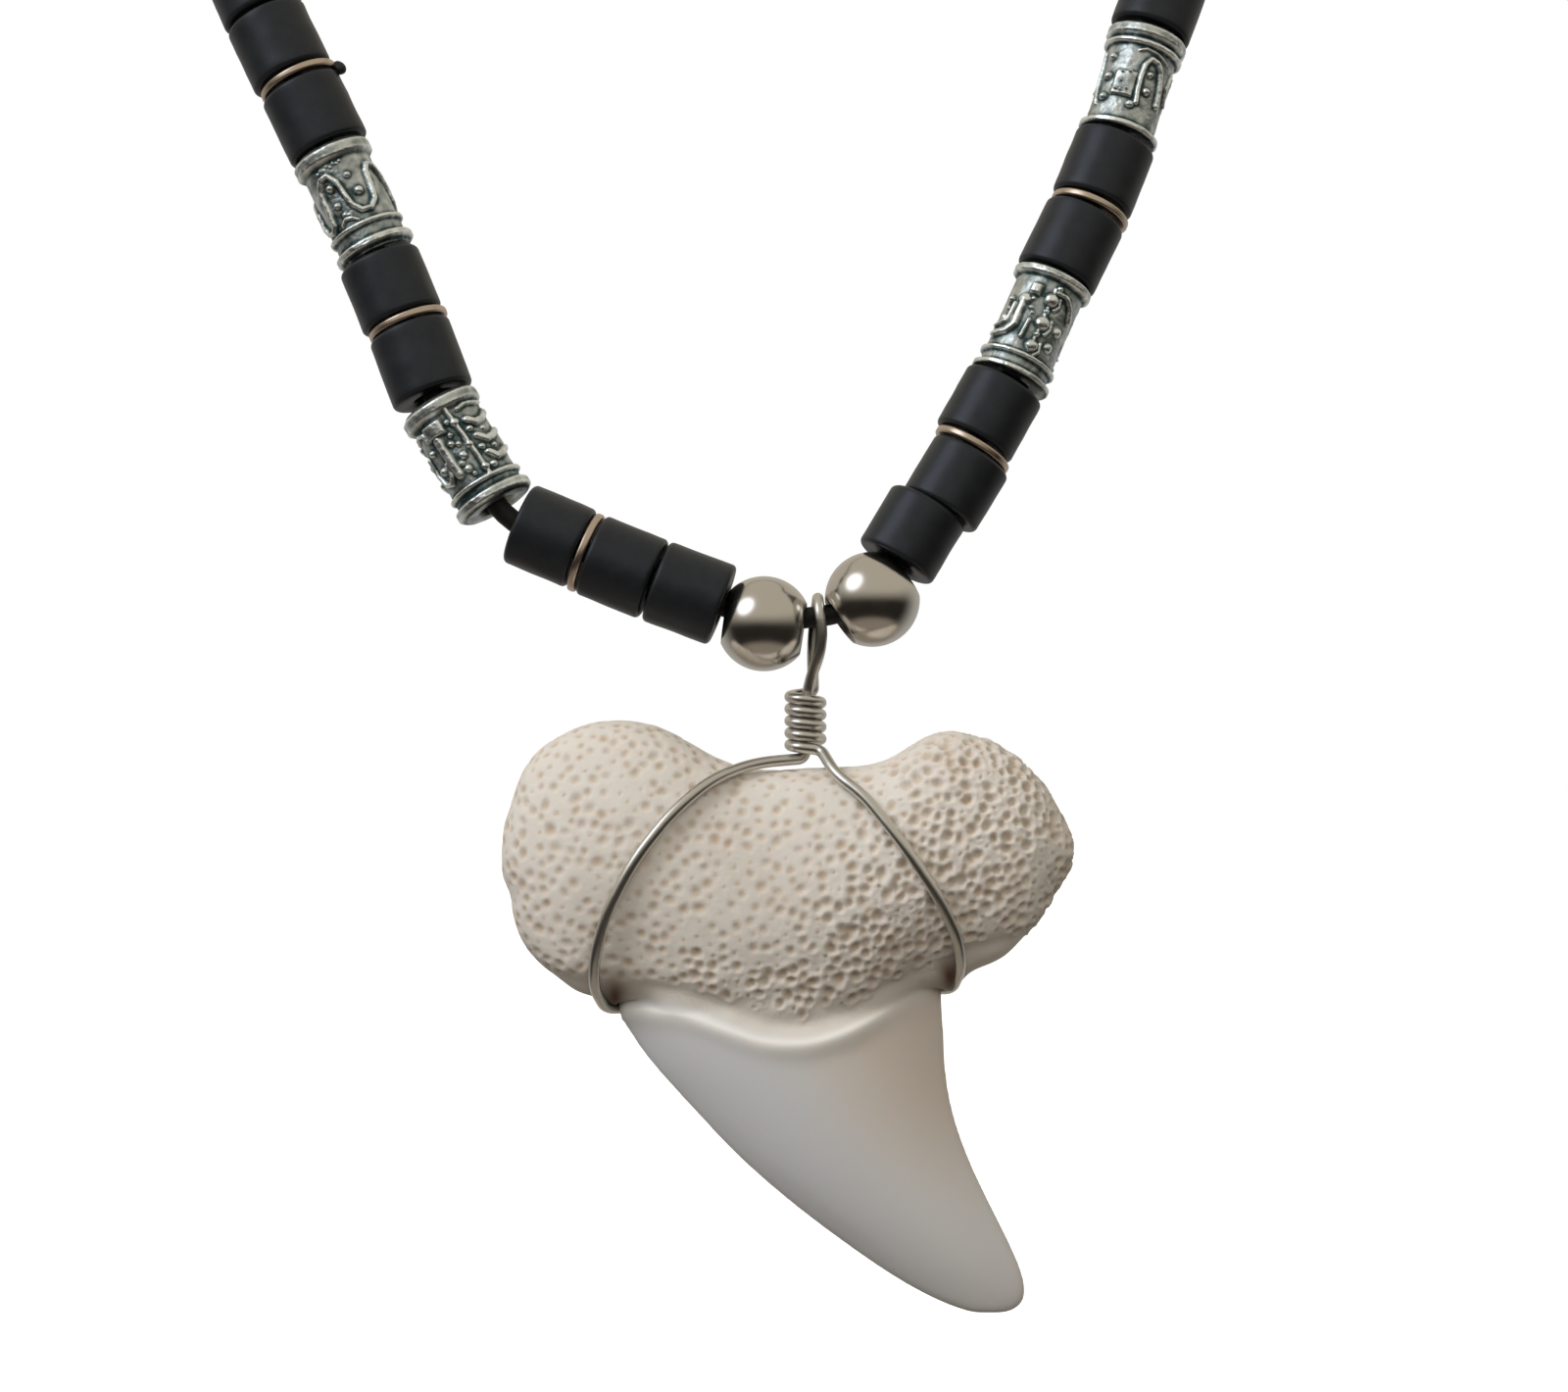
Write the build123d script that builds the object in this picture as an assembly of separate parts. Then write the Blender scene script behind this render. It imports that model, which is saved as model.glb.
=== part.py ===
"""Shark tooth pendant on a beaded necklace, in its worn form. Millimetres, +Z up.

The origin is where the clasp rests on the nape, and the pendant's front faces -Y.
Every piece is laid out from the bail, the wire loop that hangs on the cord, and is
moved to the nape's frame when it is written.
"""
from build123d import *
from math import cos, pi, radians, sin, sqrt, tan
import os

# Cord
CORD_DIAMETER = 1.3
BEAD_HOLE = 2.5
BEAD_GAP = 0.12

# Beads
COCO_DIAMETER = 5.2
COCO_LENGTH = 4.4
COCO_EDGE = 0.35
SPACER_DIAMETER = 5.1
SPACER_THICKNESS = 0.5
SPACER_EDGE = 0.12
STEEL_BALL_DIAMETER = 5.85
BALL_HOLE = 3.2
BALL_SEAT = 2.78
SEAT_STEP = 0.02
SPARE_PASSES = 4
PEWTER_LENGTH = 7.4
PEWTER_RIM_DIAMETER = 5.2
PEWTER_CORE_DIAMETER = 4.5
RIM_BAND = 0.5
RIM_GROOVE = 0.25
RIM_GROOVE_DEPTH = 0.2

# Raised ornament of a pewter bead
ORNAMENT_LOBES = 4
ORNAMENT_HEIGHT = 0.2
SERPENT_WIDTH = 0.4
DOT_DIAMETER = 0.5
DOTS_PER_LOBE = 3
DOT_SPACING = 0.75
BEAD_TURN = 137.5

# Clasp
CLASP_LENGTH = 12.0
CLASP_DIAMETER = 5.0
CLASP_EDGE = 0.6
CLASP_HOLE_DEPTH = 3.0
CORD_FIT = 0.1
CLASP_LEAD = 5.0

# Bail wire
WIRE_DIAMETER = 0.7
LOOP_RADIUS = 1.35
LOOP_CLEARANCE = 0.12
LOOP_SIDE = 1.4
LOOP_ROUND = 0.97
LEG_OFFSET = 0.33
LEG_SPREAD = 0.5
LEG_BEND = 0.38
COIL_TURNS = 4.5
COIL_PITCH = 0.74
COIL_RADIUS = 0.95
COIL_DROP = 5.1
COIL_X = -0.97
FOOT_DROP = 0.65
FOOT_BEND = 0.55
WIRE_STANDOFF = 0.26

# Tooth
TOOTH_WIDTH = 35.2
TOOTH_HEIGHT = 36.5
TOOTH_DROP = 6.7
TOOTH_REACH_LEFT = 19.7
ROOT_THICKNESS = 9.0
ROOT_EDGE = 0.36
CROWN_THICKNESS = 6.6
CROWN_EDGE = 0.45

# The cord's route from the bail out to the clasp, chosen points: x to the right,
# y away from the viewer, z up.
LEFT_ROUTE = [
    (-3.05, 0.0, -0.8),
    (-10.1, 0.3, 1.8),
    (-15.0, 0.8, 3.8),
    (-19.4, 1.2, 5.5),
    (-21.7, 1.6, 9.1),
    (-23.8, 2.5, 12.7),
    (-25.6, 3.5, 17.5),
    (-27.4, 4.4, 21.9),
    (-30.9, 5.9, 29.1),
    (-32.8, 6.8, 33.0),
    (-35.2, 8.2, 37.9),
    (-39.6, 11.5, 47.8),
    (-46.2, 18.5, 61.1),
    (-53.6, 29.8, 76.8),
    (-59.8, 45.4, 92.9),
    (-62.0, 63.8, 107.0),
    (-57.0, 81.7, 118.0),
    (-45.0, 96.6, 125.5),
    (-29.0, 107.4, 128.8),
]
RIGHT_ROUTE = [
    (3.25, 0.0, 0.17),
    (11.5, 2.9, 13.7),
    (14.4, 4.8, 20.4),
    (16.6, 6.1, 24.7),
    (18.4, 7.4, 29.0),
    (20.5, 9.4, 35.8),
    (22.4, 11.2, 41.0),
    (26.5, 14.8, 50.2),
    (32.6, 21.5, 62.5),
    (39.6, 32.0, 77.6),
    (45.6, 46.6, 93.3),
    (47.8, 64.4, 107.0),
    (43.0, 81.7, 118.0),
    (31.0, 96.6, 125.5),
    (15.0, 107.4, 128.8),
]
LEFT_BALL = (-3.52, 0.0, -0.8)
RIGHT_BALL = (3.14, 0.0, 0.7)
NAPE = (-7.0, 108.6, 129.0)
ARC_SHARE = 0.44
BAIL_SHARE = 0.45

# The beads that show, from the bail outwards. "cut" is the bead's own length as a
# share of its kind's, and "shift" is how far to the right it hangs off the cord's
# line, because its hole is wider than the cord.
SHOWN_LEFT = [
    {"kind": "coco", "cut": 0.98, "shift": 0.0},
    {"kind": "coco", "cut": 0.93, "shift": 0.0},
    {"kind": "spacer", "cut": 1.0, "shift": 0.0},
    {"kind": "coco", "cut": 0.93, "shift": 0.1},
    {"kind": "pewter", "cut": 1.01, "shift": 0.0},
    {"kind": "coco", "cut": 1.01, "shift": 0.0},
    {"kind": "spacer", "cut": 1.0, "shift": 0.1},
    {"kind": "coco", "cut": 0.93, "shift": -0.1},
    {"kind": "pewter", "cut": 1.01, "shift": 0.0},
    {"kind": "coco", "cut": 1.01, "shift": 0.1},
    {"kind": "spacer", "cut": 1.0, "shift": 0.2},
    {"kind": "coco", "cut": 0.99, "shift": 0.0},
    {"kind": "coco", "cut": 1.0, "shift": 0.0},
]
SHOWN_RIGHT = [
    {"kind": "coco", "cut": 0.93, "shift": -0.35},
    {"kind": "coco", "cut": 0.91, "shift": 0.3},
    {"kind": "spacer", "cut": 1.0, "shift": 0.1},
    {"kind": "coco", "cut": 0.94, "shift": -0.1},
    {"kind": "pewter", "cut": 0.97, "shift": 0.0},
    {"kind": "coco", "cut": 1.03, "shift": 0.0},
    {"kind": "spacer", "cut": 1.0, "shift": 0.1},
    {"kind": "coco", "cut": 1.0, "shift": 0.0},
    {"kind": "pewter", "cut": 0.97, "shift": 0.0},
    {"kind": "coco", "cut": 1.0, "shift": 0.0},
]
BACK_PATTERN = ["spacer", "coco", "coco"]

# Upright sections through the root, from its left end to its right end. "along" is
# a share of TOOTH_WIDTH, "top" and "bottom" of TOOTH_HEIGHT below the highest
# point, "thick" of ROOT_THICKNESS.
ROOT_SECTIONS = [
    {"along": 0.003, "top": 0.198, "bottom": 0.262, "thick": 0.16},
    {"along": 0.012, "top": 0.154, "bottom": 0.298, "thick": 0.32},
    {"along": 0.024, "top": 0.120, "bottom": 0.340, "thick": 0.45},
    {"along": 0.044, "top": 0.079, "bottom": 0.382, "thick": 0.58},
    {"along": 0.075, "top": 0.046, "bottom": 0.417, "thick": 0.70},
    {"along": 0.110, "top": 0.024, "bottom": 0.448, "thick": 0.80},
    {"along": 0.155, "top": 0.006, "bottom": 0.463, "thick": 0.88},
    {"along": 0.200, "top": 0.001, "bottom": 0.458, "thick": 0.93},
    {"along": 0.295, "top": 0.019, "bottom": 0.504, "thick": 0.98},
    {"along": 0.360, "top": 0.054, "bottom": 0.524, "thick": 0.99},
    {"along": 0.425, "top": 0.079, "bottom": 0.534, "thick": 1.00},
    {"along": 0.550, "top": 0.081, "bottom": 0.542, "thick": 1.00},
    {"along": 0.620, "top": 0.0785, "bottom": 0.530, "thick": 0.99},
    {"along": 0.665, "top": 0.070, "bottom": 0.508, "thick": 0.97},
    {"along": 0.760, "top": 0.024, "bottom": 0.439, "thick": 0.93},
    {"along": 0.840, "top": 0.032, "bottom": 0.415, "thick": 0.86},
    {"along": 0.915, "top": 0.075, "bottom": 0.371, "thick": 0.72},
    {"along": 0.968, "top": 0.142, "bottom": 0.294, "thick": 0.48},
    {"along": 0.996, "top": 0.193, "bottom": 0.246, "thick": 0.18},
]

# Level sections through the crown, from inside the root down to the tip. "down" is
# a share of TOOTH_HEIGHT, "left" and "right" of TOOTH_WIDTH, "thick" of
# CROWN_THICKNESS.
CROWN_SECTIONS = [
    {"down": 0.415, "left": 0.235, "right": 0.768, "thick": 1.00},
    {"down": 0.500, "left": 0.216, "right": 0.772, "thick": 1.00},
    {"down": 0.560, "left": 0.250, "right": 0.775, "thick": 0.98},
    {"down": 0.640, "left": 0.322, "right": 0.785, "thick": 0.93},
    {"down": 0.725, "left": 0.405, "right": 0.812, "thick": 0.84},
    {"down": 0.810, "left": 0.504, "right": 0.852, "thick": 0.71},
    {"down": 0.890, "left": 0.614, "right": 0.893, "thick": 0.54},
    {"down": 0.945, "left": 0.700, "right": 0.914, "thick": 0.38},
    {"down": 0.980, "left": 0.770, "right": 0.911, "thick": 0.25},
    {"down": 0.998, "left": 0.826, "right": 0.880, "thick": 0.15},
]

# Where the harness wire crosses the tooth: shares of the tooth's width and height,
# in front of it, round the edge or behind it.
LEFT_HARNESS = [
    {"along": 0.443, "down": 0.072, "side": "front"},
    {"along": 0.370, "down": 0.098, "side": "front"},
    {"along": 0.303, "down": 0.152, "side": "front"},
    {"along": 0.236, "down": 0.232, "side": "front"},
    {"along": 0.188, "down": 0.322, "side": "front"},
    {"along": 0.167, "down": 0.396, "side": "front"},
    {"along": 0.165, "down": 0.448, "side": "front"},
    {"along": 0.184, "down": 0.488, "side": "edge"},
    {"along": 0.232, "down": 0.484, "side": "back"},
    {"along": 0.300, "down": 0.492, "side": "back"},
    {"along": 0.390, "down": 0.482, "side": "back"},
]
RIGHT_HARNESS = [
    {"along": 0.585, "down": 0.092, "side": "front"},
    {"along": 0.632, "down": 0.125, "side": "front"},
    {"along": 0.700, "down": 0.205, "side": "front"},
    {"along": 0.760, "down": 0.292, "side": "front"},
    {"along": 0.795, "down": 0.364, "side": "front"},
    {"along": 0.802, "down": 0.416, "side": "front"},
    {"along": 0.788, "down": 0.454, "side": "edge"},
    {"along": 0.752, "down": 0.454, "side": "back"},
    {"along": 0.690, "down": 0.466, "side": "back"},
    {"along": 0.600, "down": 0.470, "side": "back"},
]


def arc_radii(points):
    """The radius of the arc at each inner point, as large as its two runs allow."""
    radii = []
    for before, here, after in zip(points, points[1:], points[2:]):
        run_in = here - before
        run_out = after - here
        turn = radians(run_in.get_angle(run_out))
        shorter = min(run_in.length, run_out.length)
        radii.append(ARC_SHARE * shorter / tan(turn / 2))
    return radii


def tube(path, diameter):
    """A round bar along a path of runs and arcs."""
    section = Plane(origin=path @ 0, z_dir=path % 0) * Circle(diameter / 2)
    return sweep(section, path=path)


def oval(length, thickness, edge):
    """A flat oval of four tangent arcs: two long faces and two rounded ends."""
    end = min(edge, 0.45 * thickness, 0.45 * length)
    reach = length / 2 - end
    face = (thickness ** 2 / 4 + reach ** 2 - end ** 2) / (thickness - 2 * end)
    offset = face - thickness / 2
    lean = sqrt(offset ** 2 + reach ** 2)
    meet_x = reach + end * reach / lean
    meet_y = end * offset / lean
    corners = [(meet_x, meet_y), (-meet_x, meet_y), (-meet_x, -meet_y), (meet_x, -meet_y)]
    middles = [(0, thickness / 2), (-length / 2, 0), (0, -thickness / 2), (length / 2, 0)]
    arcs = []
    for i, middle in enumerate(middles):
        arcs.append(ThreePointArc(corners[i], middle, corners[(i + 1) % 4]))
    return Wire([arc.edge() for arc in arcs])


def coco_bead(length):
    """A drilled length of dark shell with eased edges, its hole along Z."""
    bead = Cylinder(COCO_DIAMETER / 2, length)
    bead = fillet(bead.edges().filter_by(GeomType.CIRCLE), COCO_EDGE)
    return bead - Cylinder(BEAD_HOLE / 2, 2 * length)


def spacer(length):
    """A thin metal disc with a rounded rim."""
    disc = Cylinder(SPACER_DIAMETER / 2, length)
    disc = fillet(disc.edges().filter_by(GeomType.CIRCLE), SPACER_EDGE)
    return disc - Cylinder(BEAD_HOLE / 2, 2 * length)


def steel_ball():
    """A ball with a straight hole along Z."""
    return Sphere(STEEL_BALL_DIAMETER / 2) - Cylinder(BALL_HOLE / 2, 2 * STEEL_BALL_DIAMETER)


def pewter_bead(length):
    """A cast tube: two bands and a groove at each end, ornament raised between them."""
    core = PEWTER_CORE_DIAMETER / 2
    rim = PEWTER_RIM_DIAMETER / 2
    bead = Cylinder(core, length)
    rim_width = 2 * RIM_BAND + RIM_GROOVE
    for end in (-1, 1):
        middle = end * (length - rim_width) / 2
        collar = Pos(0, 0, middle) * Cylinder(rim, rim_width)
        groove = Cylinder(2 * rim, RIM_GROOVE) - Cylinder(rim - RIM_GROOVE_DEPTH, RIM_GROOVE)
        bead = bead + (collar - Pos(0, 0, middle) * groove)
    field = length - 2 * rim_width
    face = Cylinder(core + ORNAMENT_HEIGHT, field)
    lobe_reach = core * sin(pi / ORNAMENT_LOBES)
    for lobe in range(ORNAMENT_LOBES):
        upright = 1 if lobe % 2 == 0 else -1
        ring = Circle(lobe_reach + SERPENT_WIDTH / 2) - Circle(lobe_reach - SERPENT_WIDTH / 2)
        half = ring & Pos(0, upright * lobe_reach) * Rectangle(4 * lobe_reach, 2 * lobe_reach)
        outward = Plane(origin=(0, 0, 0), x_dir=(0, 1, 0), z_dir=(1, 0, 0))
        rib = extrude(outward * half, 2 * rim) & face
        turn = Rot(0, 0, lobe * 360 / ORNAMENT_LOBES)
        bead = bead + turn * rib
        for dot in range(DOTS_PER_LOBE):
            height = upright * (0.5 - dot) * DOT_SPACING
            place = Pos(core + ORNAMENT_HEIGHT - DOT_DIAMETER / 2, 0, height)
            bead = bead + turn * place * Sphere(DOT_DIAMETER / 2)
    return bead - Cylinder(BEAD_HOLE / 2, 2 * length)


def clasp_barrel():
    """A plain barrel along X with a blind hole in each end for the cord."""
    barrel = Rot(0, 90, 0) * Cylinder(CLASP_DIAMETER / 2, CLASP_LENGTH)
    barrel = fillet(barrel.edges().filter_by(GeomType.CIRCLE), CLASP_EDGE)
    for end in (-1, 1):
        middle = end * (CLASP_LENGTH - CLASP_HOLE_DEPTH) / 2
        hole = Rot(0, 90, 0) * Cylinder(CORD_DIAMETER / 2 + CORD_FIT, CLASP_HOLE_DEPTH)
        barrel = barrel - Pos(middle, 0, 0) * hole
    return barrel


BEADS = {
    "coco": {"make": coco_bead, "length": COCO_LENGTH, "radius": COCO_DIAMETER / 2},
    "spacer": {"make": spacer, "length": SPACER_THICKNESS, "radius": SPACER_DIAMETER / 2},
    "pewter": {"make": pewter_bead, "length": PEWTER_LENGTH, "radius": PEWTER_RIM_DIAMETER / 2},
}


def chord(path, start, length):
    """The straight line that a bead's axis takes across a stretch of the cord."""
    first = path.position_at(start, position_mode=PositionMode.LENGTH)
    last = path.position_at(start + length, position_mode=PositionMode.LENGTH)
    return (first + last) * 0.5, (last - first).normalized()


def next_bead(path, end, axis, reach, length, radius):
    """Where the next bead starts: far enough on that the two rims clear in a bend."""
    start = end
    for _ in range(4):
        centre, new_axis = chord(path, start, length)
        turn = radians(axis.get_angle(new_axis))
        start = end + 2 * max(reach, radius) * tan(turn / 2)
    return start, centre, new_axis


def string_side(path, ball, shown, hidden, slack):
    """Place the beads of one side, from the steel ball to the clasp."""
    end = (ball - path @ 0).length
    while (path.position_at(end, position_mode=PositionMode.LENGTH) - ball).length < BALL_SEAT:
        end += SEAT_STEP
    axis = path.tangent_at(end, position_mode=PositionMode.LENGTH)
    reach = 0.0
    room = path.length - CLASP_HOLE_DEPTH - BEAD_GAP
    placed = []
    last = end
    while hidden is None or len(placed) < len(shown) + hidden:
        count = len(placed)
        row = {"kind": BACK_PATTERN[(count - len(shown)) % len(BACK_PATTERN)], "cut": 1.0, "shift": 0.0}
        if count < len(shown):
            row = shown[count]
        length = row["cut"] * BEADS[row["kind"]]["length"]
        radius = BEADS[row["kind"]]["radius"]
        start, centre, axis = next_bead(path, end, axis, reach, length, radius)
        if hidden is None and start + length > room:
            break
        placed.append({"row": row, "length": length, "centre": centre, "axis": axis})
        last = start + length
        end = last + BEAD_GAP + (slack if count >= len(shown) else 0.0)
        reach = radius
    return placed, room - last


def seat(shape, centre, axis, shift, number):
    """Put a shape on the cord, turned a little further than the one before."""
    across = Vector(0, 1, 0).cross(axis).normalized()
    place = Plane(origin=centre + across * shift, x_dir=across, z_dir=axis)
    return place.location * Rot(0, 0, number * BEAD_TURN) * shape


def tooth_x(along):
    return along * TOOTH_WIDTH - TOOTH_REACH_LEFT


def tooth_z(down):
    return -TOOTH_DROP - down * TOOTH_HEIGHT


def shark_tooth():
    """The root lofted from side to side, joined to the crown lofted down to its tip."""
    root_wires = []
    for row in ROOT_SECTIONS:
        top = tooth_z(row["top"])
        bottom = tooth_z(row["bottom"])
        thick = row["thick"] * ROOT_THICKNESS
        plane = Plane(origin=(tooth_x(row["along"]), 0, (top + bottom) / 2),
                      x_dir=(0, 0, 1), z_dir=(1, 0, 0))
        root_wires.append(plane * oval(top - bottom, thick, ROOT_EDGE * thick))
    root = Solid.make_loft(root_wires)
    crown_wires = []
    for row in CROWN_SECTIONS:
        left = tooth_x(row["left"])
        right = tooth_x(row["right"])
        plane = Plane(origin=((left + right) / 2, 0, tooth_z(row["down"])))
        thick = row["thick"] * CROWN_THICKNESS
        crown_wires.append(plane * oval(right - left, thick, CROWN_EDGE))
    crown = Solid.make_loft(crown_wires)
    return root + crown


def beside(tooth, row):
    """A point of the harness: the wire's middle, standing just off the tooth."""
    x = tooth_x(row["along"])
    z = tooth_z(row["down"])
    if row["side"] == "edge":
        return Vector(x, 0, z)
    away = -1 if row["side"] == "front" else 1
    clear = WIRE_DIAMETER / 2 + WIRE_STANDOFF
    depth = ROOT_THICKNESS
    for _ in range(12):
        gap = tooth.distance_to(Vertex(x, away * depth, z)) - clear
        depth = max(depth - gap, 0)
    return Vector(x, away * depth, z)


def with_radii(stops):
    """The points and arc radii of a path whose stops may name their own radius."""
    points = [stop["at"] for stop in stops]
    radii = arc_radii(points)
    for i, stop in enumerate(stops[1:-1]):
        radii[i] = stop.get("radius", radii[i])
    return FilletPolyline(*points, radius=radii)


def bail_wire(tooth, bail):
    """One wire: harness, inner leg, loop over the cord, outer leg, coil, harness."""
    side = Vector(0, LOOP_RADIUS, 0)
    sag = LOOP_RADIUS - (WIRE_DIAMETER + CORD_DIAMETER) / 2 - LOOP_CLEARANCE
    middle = bail - Vector(0, 0, sag)
    crest = Vector(0, 0, LOOP_RADIUS)
    coil_foot = -COIL_DROP - COIL_TURNS * COIL_PITCH
    helix = Helix(COIL_PITCH, COIL_TURNS * COIL_PITCH, COIL_RADIUS, lefthand=True)
    helix = Pos(COIL_X, 0, -COIL_DROP) * Rot(0, 0, 90) * Rot(180, 0, 0) * helix
    inner_y = -(COIL_RADIUS - WIRE_DIAMETER) / 2
    left = [{"at": beside(tooth, row)} for row in reversed(LEFT_HARNESS)]
    left += [
        {"at": Vector(COIL_X, inner_y, coil_foot - FOOT_DROP), "radius": FOOT_BEND},
        {"at": Vector(COIL_X, inner_y, -COIL_DROP)},
        {"at": middle + Vector(LEG_OFFSET, -LOOP_RADIUS, -LOOP_SIDE)},
        {"at": middle + crest - side, "radius": LOOP_RADIUS * LOOP_ROUND},
        {"at": middle + crest + side, "radius": LOOP_RADIUS * LOOP_ROUND},
        {"at": middle + Vector(-LEG_OFFSET, LOOP_RADIUS, -LOOP_SIDE)},
        {"at": helix @ 0 - (helix % 0) * LEG_SPREAD, "radius": LEG_BEND},
        {"at": helix @ 0},
    ]
    right = [{"at": helix @ 1}, {"at": helix @ 1 + (helix % 1) * COIL_RADIUS}]
    right += [{"at": beside(tooth, row)} for row in RIGHT_HARNESS]
    first = with_radii(left)
    last = with_radii(right)
    path = Wire(first.edges() + [helix] + last.edges())
    return tube(path, WIRE_DIAMETER)


def write(shape, name):
    """Save one piece in the nape's frame."""
    moved = Pos(Vector(NAPE) * -1) * shape
    export_step(moved, "parts/" + name + ".step")


def main():
    os.makedirs("parts", exist_ok=True)
    left = [Vector(point) for point in LEFT_ROUTE]
    right = [Vector(point) for point in RIGHT_ROUTE]
    clasp_middle = Vector(NAPE) + Vector(0, CLASP_DIAMETER / 2, 0)
    lead = Vector(CLASP_LENGTH / 2 + CLASP_LEAD, 0, 0)
    cord_end = Vector(CLASP_LENGTH / 2 - CLASP_HOLE_DEPTH + CORD_FIT, 0, 0)
    left += [clasp_middle - lead, clasp_middle - cord_end]
    right += [clasp_middle + lead, clasp_middle + cord_end]
    points = list(reversed(left)) + right
    radii = arc_radii(points)
    cord_path = FilletPolyline(*points, radius=radii)
    bail = left[0] + (right[0] - left[0]) * BAIL_SHARE
    left_path = FilletPolyline(bail, *left, radius=list(reversed(radii[:len(left) - 1])))
    right_path = FilletPolyline(bail, *right, radius=radii[len(left) - 1:])
    real_length = cord_path.length + CLASP_LENGTH - 2 * CLASP_HOLE_DEPTH
    print("tightest arc", round(min(radii), 2), "whole loop", round(real_length, 1))

    cord = tube(cord_path, CORD_DIAMETER)
    write(cord, "stringing_cord")
    write(Pos(clasp_middle) * clasp_barrel(), "clasp_barrel")

    back = {"coco": [], "spacer": []}
    names = {"coco": "coco_bead", "spacer": "spacer", "pewter": "pewter_bead"}
    shapes = {}
    hinge = (right[0] - left[0]).normalized()
    for side, path, ball, shown in (("left", left_path, Vector(LEFT_BALL), SHOWN_LEFT),
                                    ("right", right_path, Vector(RIGHT_BALL), SHOWN_RIGHT)):
        nearest = (ball - bail).length - STEEL_BALL_DIAMETER / 2
        _, ball_axis = chord(path, nearest, STEEL_BALL_DIAMETER)
        write(seat(steel_ball(), ball, ball_axis, 0, 0), "steel_ball_" + side)
        beads, spare = string_side(path, ball, shown, None, 0.0)
        hidden = len(beads) - len(shown)
        slack = 0.0
        for _ in range(SPARE_PASSES):
            slack += spare / hidden
            beads, spare = string_side(path, ball, shown, hidden, slack)
        print(side, "hidden beads", hidden, "slack", round(slack, 3), "left over", round(spare, 3))
        counts = {}
        for number, bead in enumerate(beads):
            kind = bead["row"]["kind"]
            if (kind, bead["length"]) not in shapes:
                shapes[kind, bead["length"]] = BEADS[kind]["make"](bead["length"])
            shape = seat(shapes[kind, bead["length"]], bead["centre"], bead["axis"],
                         bead["row"]["shift"], number)
            if number < len(shown):
                counts[kind] = counts.get(kind, 0) + 1
                write(shape, names[kind] + "_" + side + "_" + str(counts[kind]))
            else:
                back[kind].append(shape)
    write(Compound(children=back["coco"]), "back_coco_beads")
    write(Compound(children=back["spacer"]), "back_spacers")

    tooth = shark_tooth()
    write(tooth, "shark_tooth")
    print("hinge", hinge, "at", bail - Vector(NAPE), "tooth volume", tooth.volume)
    write(bail_wire(tooth, bail), "bail_wire")


main()
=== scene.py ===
# %% [markdown]
# A necklace of black shell beads and cast silver-coloured beads carries one large bone-white tooth.
# This lesson dresses the CAD model of it in Blender. The CAD gives each piece its size and place.
# Blender adds what a CAD solid can't show: pores in the bone, cast ornament, polish and wear.

# %% Load the frame and keep its box
import math
import bpy
import numpy as np
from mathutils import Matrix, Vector, kdtree, noise


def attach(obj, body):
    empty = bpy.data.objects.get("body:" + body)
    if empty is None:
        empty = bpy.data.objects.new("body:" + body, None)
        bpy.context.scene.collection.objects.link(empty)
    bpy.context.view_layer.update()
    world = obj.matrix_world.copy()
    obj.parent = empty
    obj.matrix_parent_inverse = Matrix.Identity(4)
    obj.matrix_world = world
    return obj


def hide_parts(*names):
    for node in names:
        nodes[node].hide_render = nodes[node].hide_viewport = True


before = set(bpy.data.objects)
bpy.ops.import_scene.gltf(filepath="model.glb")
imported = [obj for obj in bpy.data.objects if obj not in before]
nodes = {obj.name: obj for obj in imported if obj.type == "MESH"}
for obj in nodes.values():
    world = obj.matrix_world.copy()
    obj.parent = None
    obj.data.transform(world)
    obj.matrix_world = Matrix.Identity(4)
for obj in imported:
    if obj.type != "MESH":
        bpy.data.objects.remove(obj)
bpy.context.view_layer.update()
MM = 0.001

# %% [markdown]
# The camera comes first, because every detail is judged through it. A level camera 350 mm in front
# of the pendant gives the same perspective as the photograph: the strands shrink a little as they
# rise and lean away. The lens follows from the width of the view at that distance.

# %% Camera
CAMERA_PLACE = (4.711, -458.6, -134.241)
VIEW_WIDTH = 96.386
VIEW_DISTANCE = 350.0
SENSOR_WIDTH = 36.0
NEAREST_SEEN = 10.0

camera_data = bpy.data.cameras.new("view_camera")
camera_data.sensor_width = SENSOR_WIDTH
camera_data.lens = SENSOR_WIDTH * VIEW_DISTANCE / VIEW_WIDTH
camera_data.clip_start = NEAREST_SEEN * MM
camera = bpy.data.objects.new("view_camera", camera_data)
camera.location = Vector(CAMERA_PLACE) * MM
camera.rotation_euler = (math.radians(90), 0, 0)
bpy.context.scene.collection.objects.link(camera)
bpy.context.scene.camera = camera
print("lens", round(camera_data.lens, 1), "mm")

# %% [markdown]
# Two helpers serve every finish. One turns a hex colour, as a colour picker gives it, to the linear
# numbers that Blender shades with. The other adds one shader node with its settings and its links.
# A pattern's scale is the number of repeats in a metre, so it follows from a size in millimetres.

# %% Helpers for finishes
def colour(code):
    """A hex colour such as 8A7F70 as linear red, green, blue and alpha."""
    linear = []
    for place in (0, 2, 4):
        part = int(code[place:place + 2], 16) / 255
        linear.append(part / 12.92 if part <= 0.04045 else ((part + 0.055) / 1.055) ** 2.4)
    return (*linear, 1.0)


def repeats(size):
    """How often a pattern of this size in millimetres repeats in a metre."""
    return 1 / (size * MM)


def add_node(tree, kind, setup=None, feeds=None):
    """One shader node. Each feed is a plain value or the socket of another node."""
    made = tree.nodes.new(kind)
    for name, value in (setup or {}).items():
        setattr(made, name, value)
    for socket, value in (feeds or {}).items():
        if isinstance(value, bpy.types.NodeSocket):
            tree.links.new(value, made.inputs[socket])
        else:
            made.inputs[socket].default_value = value
    return made


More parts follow.
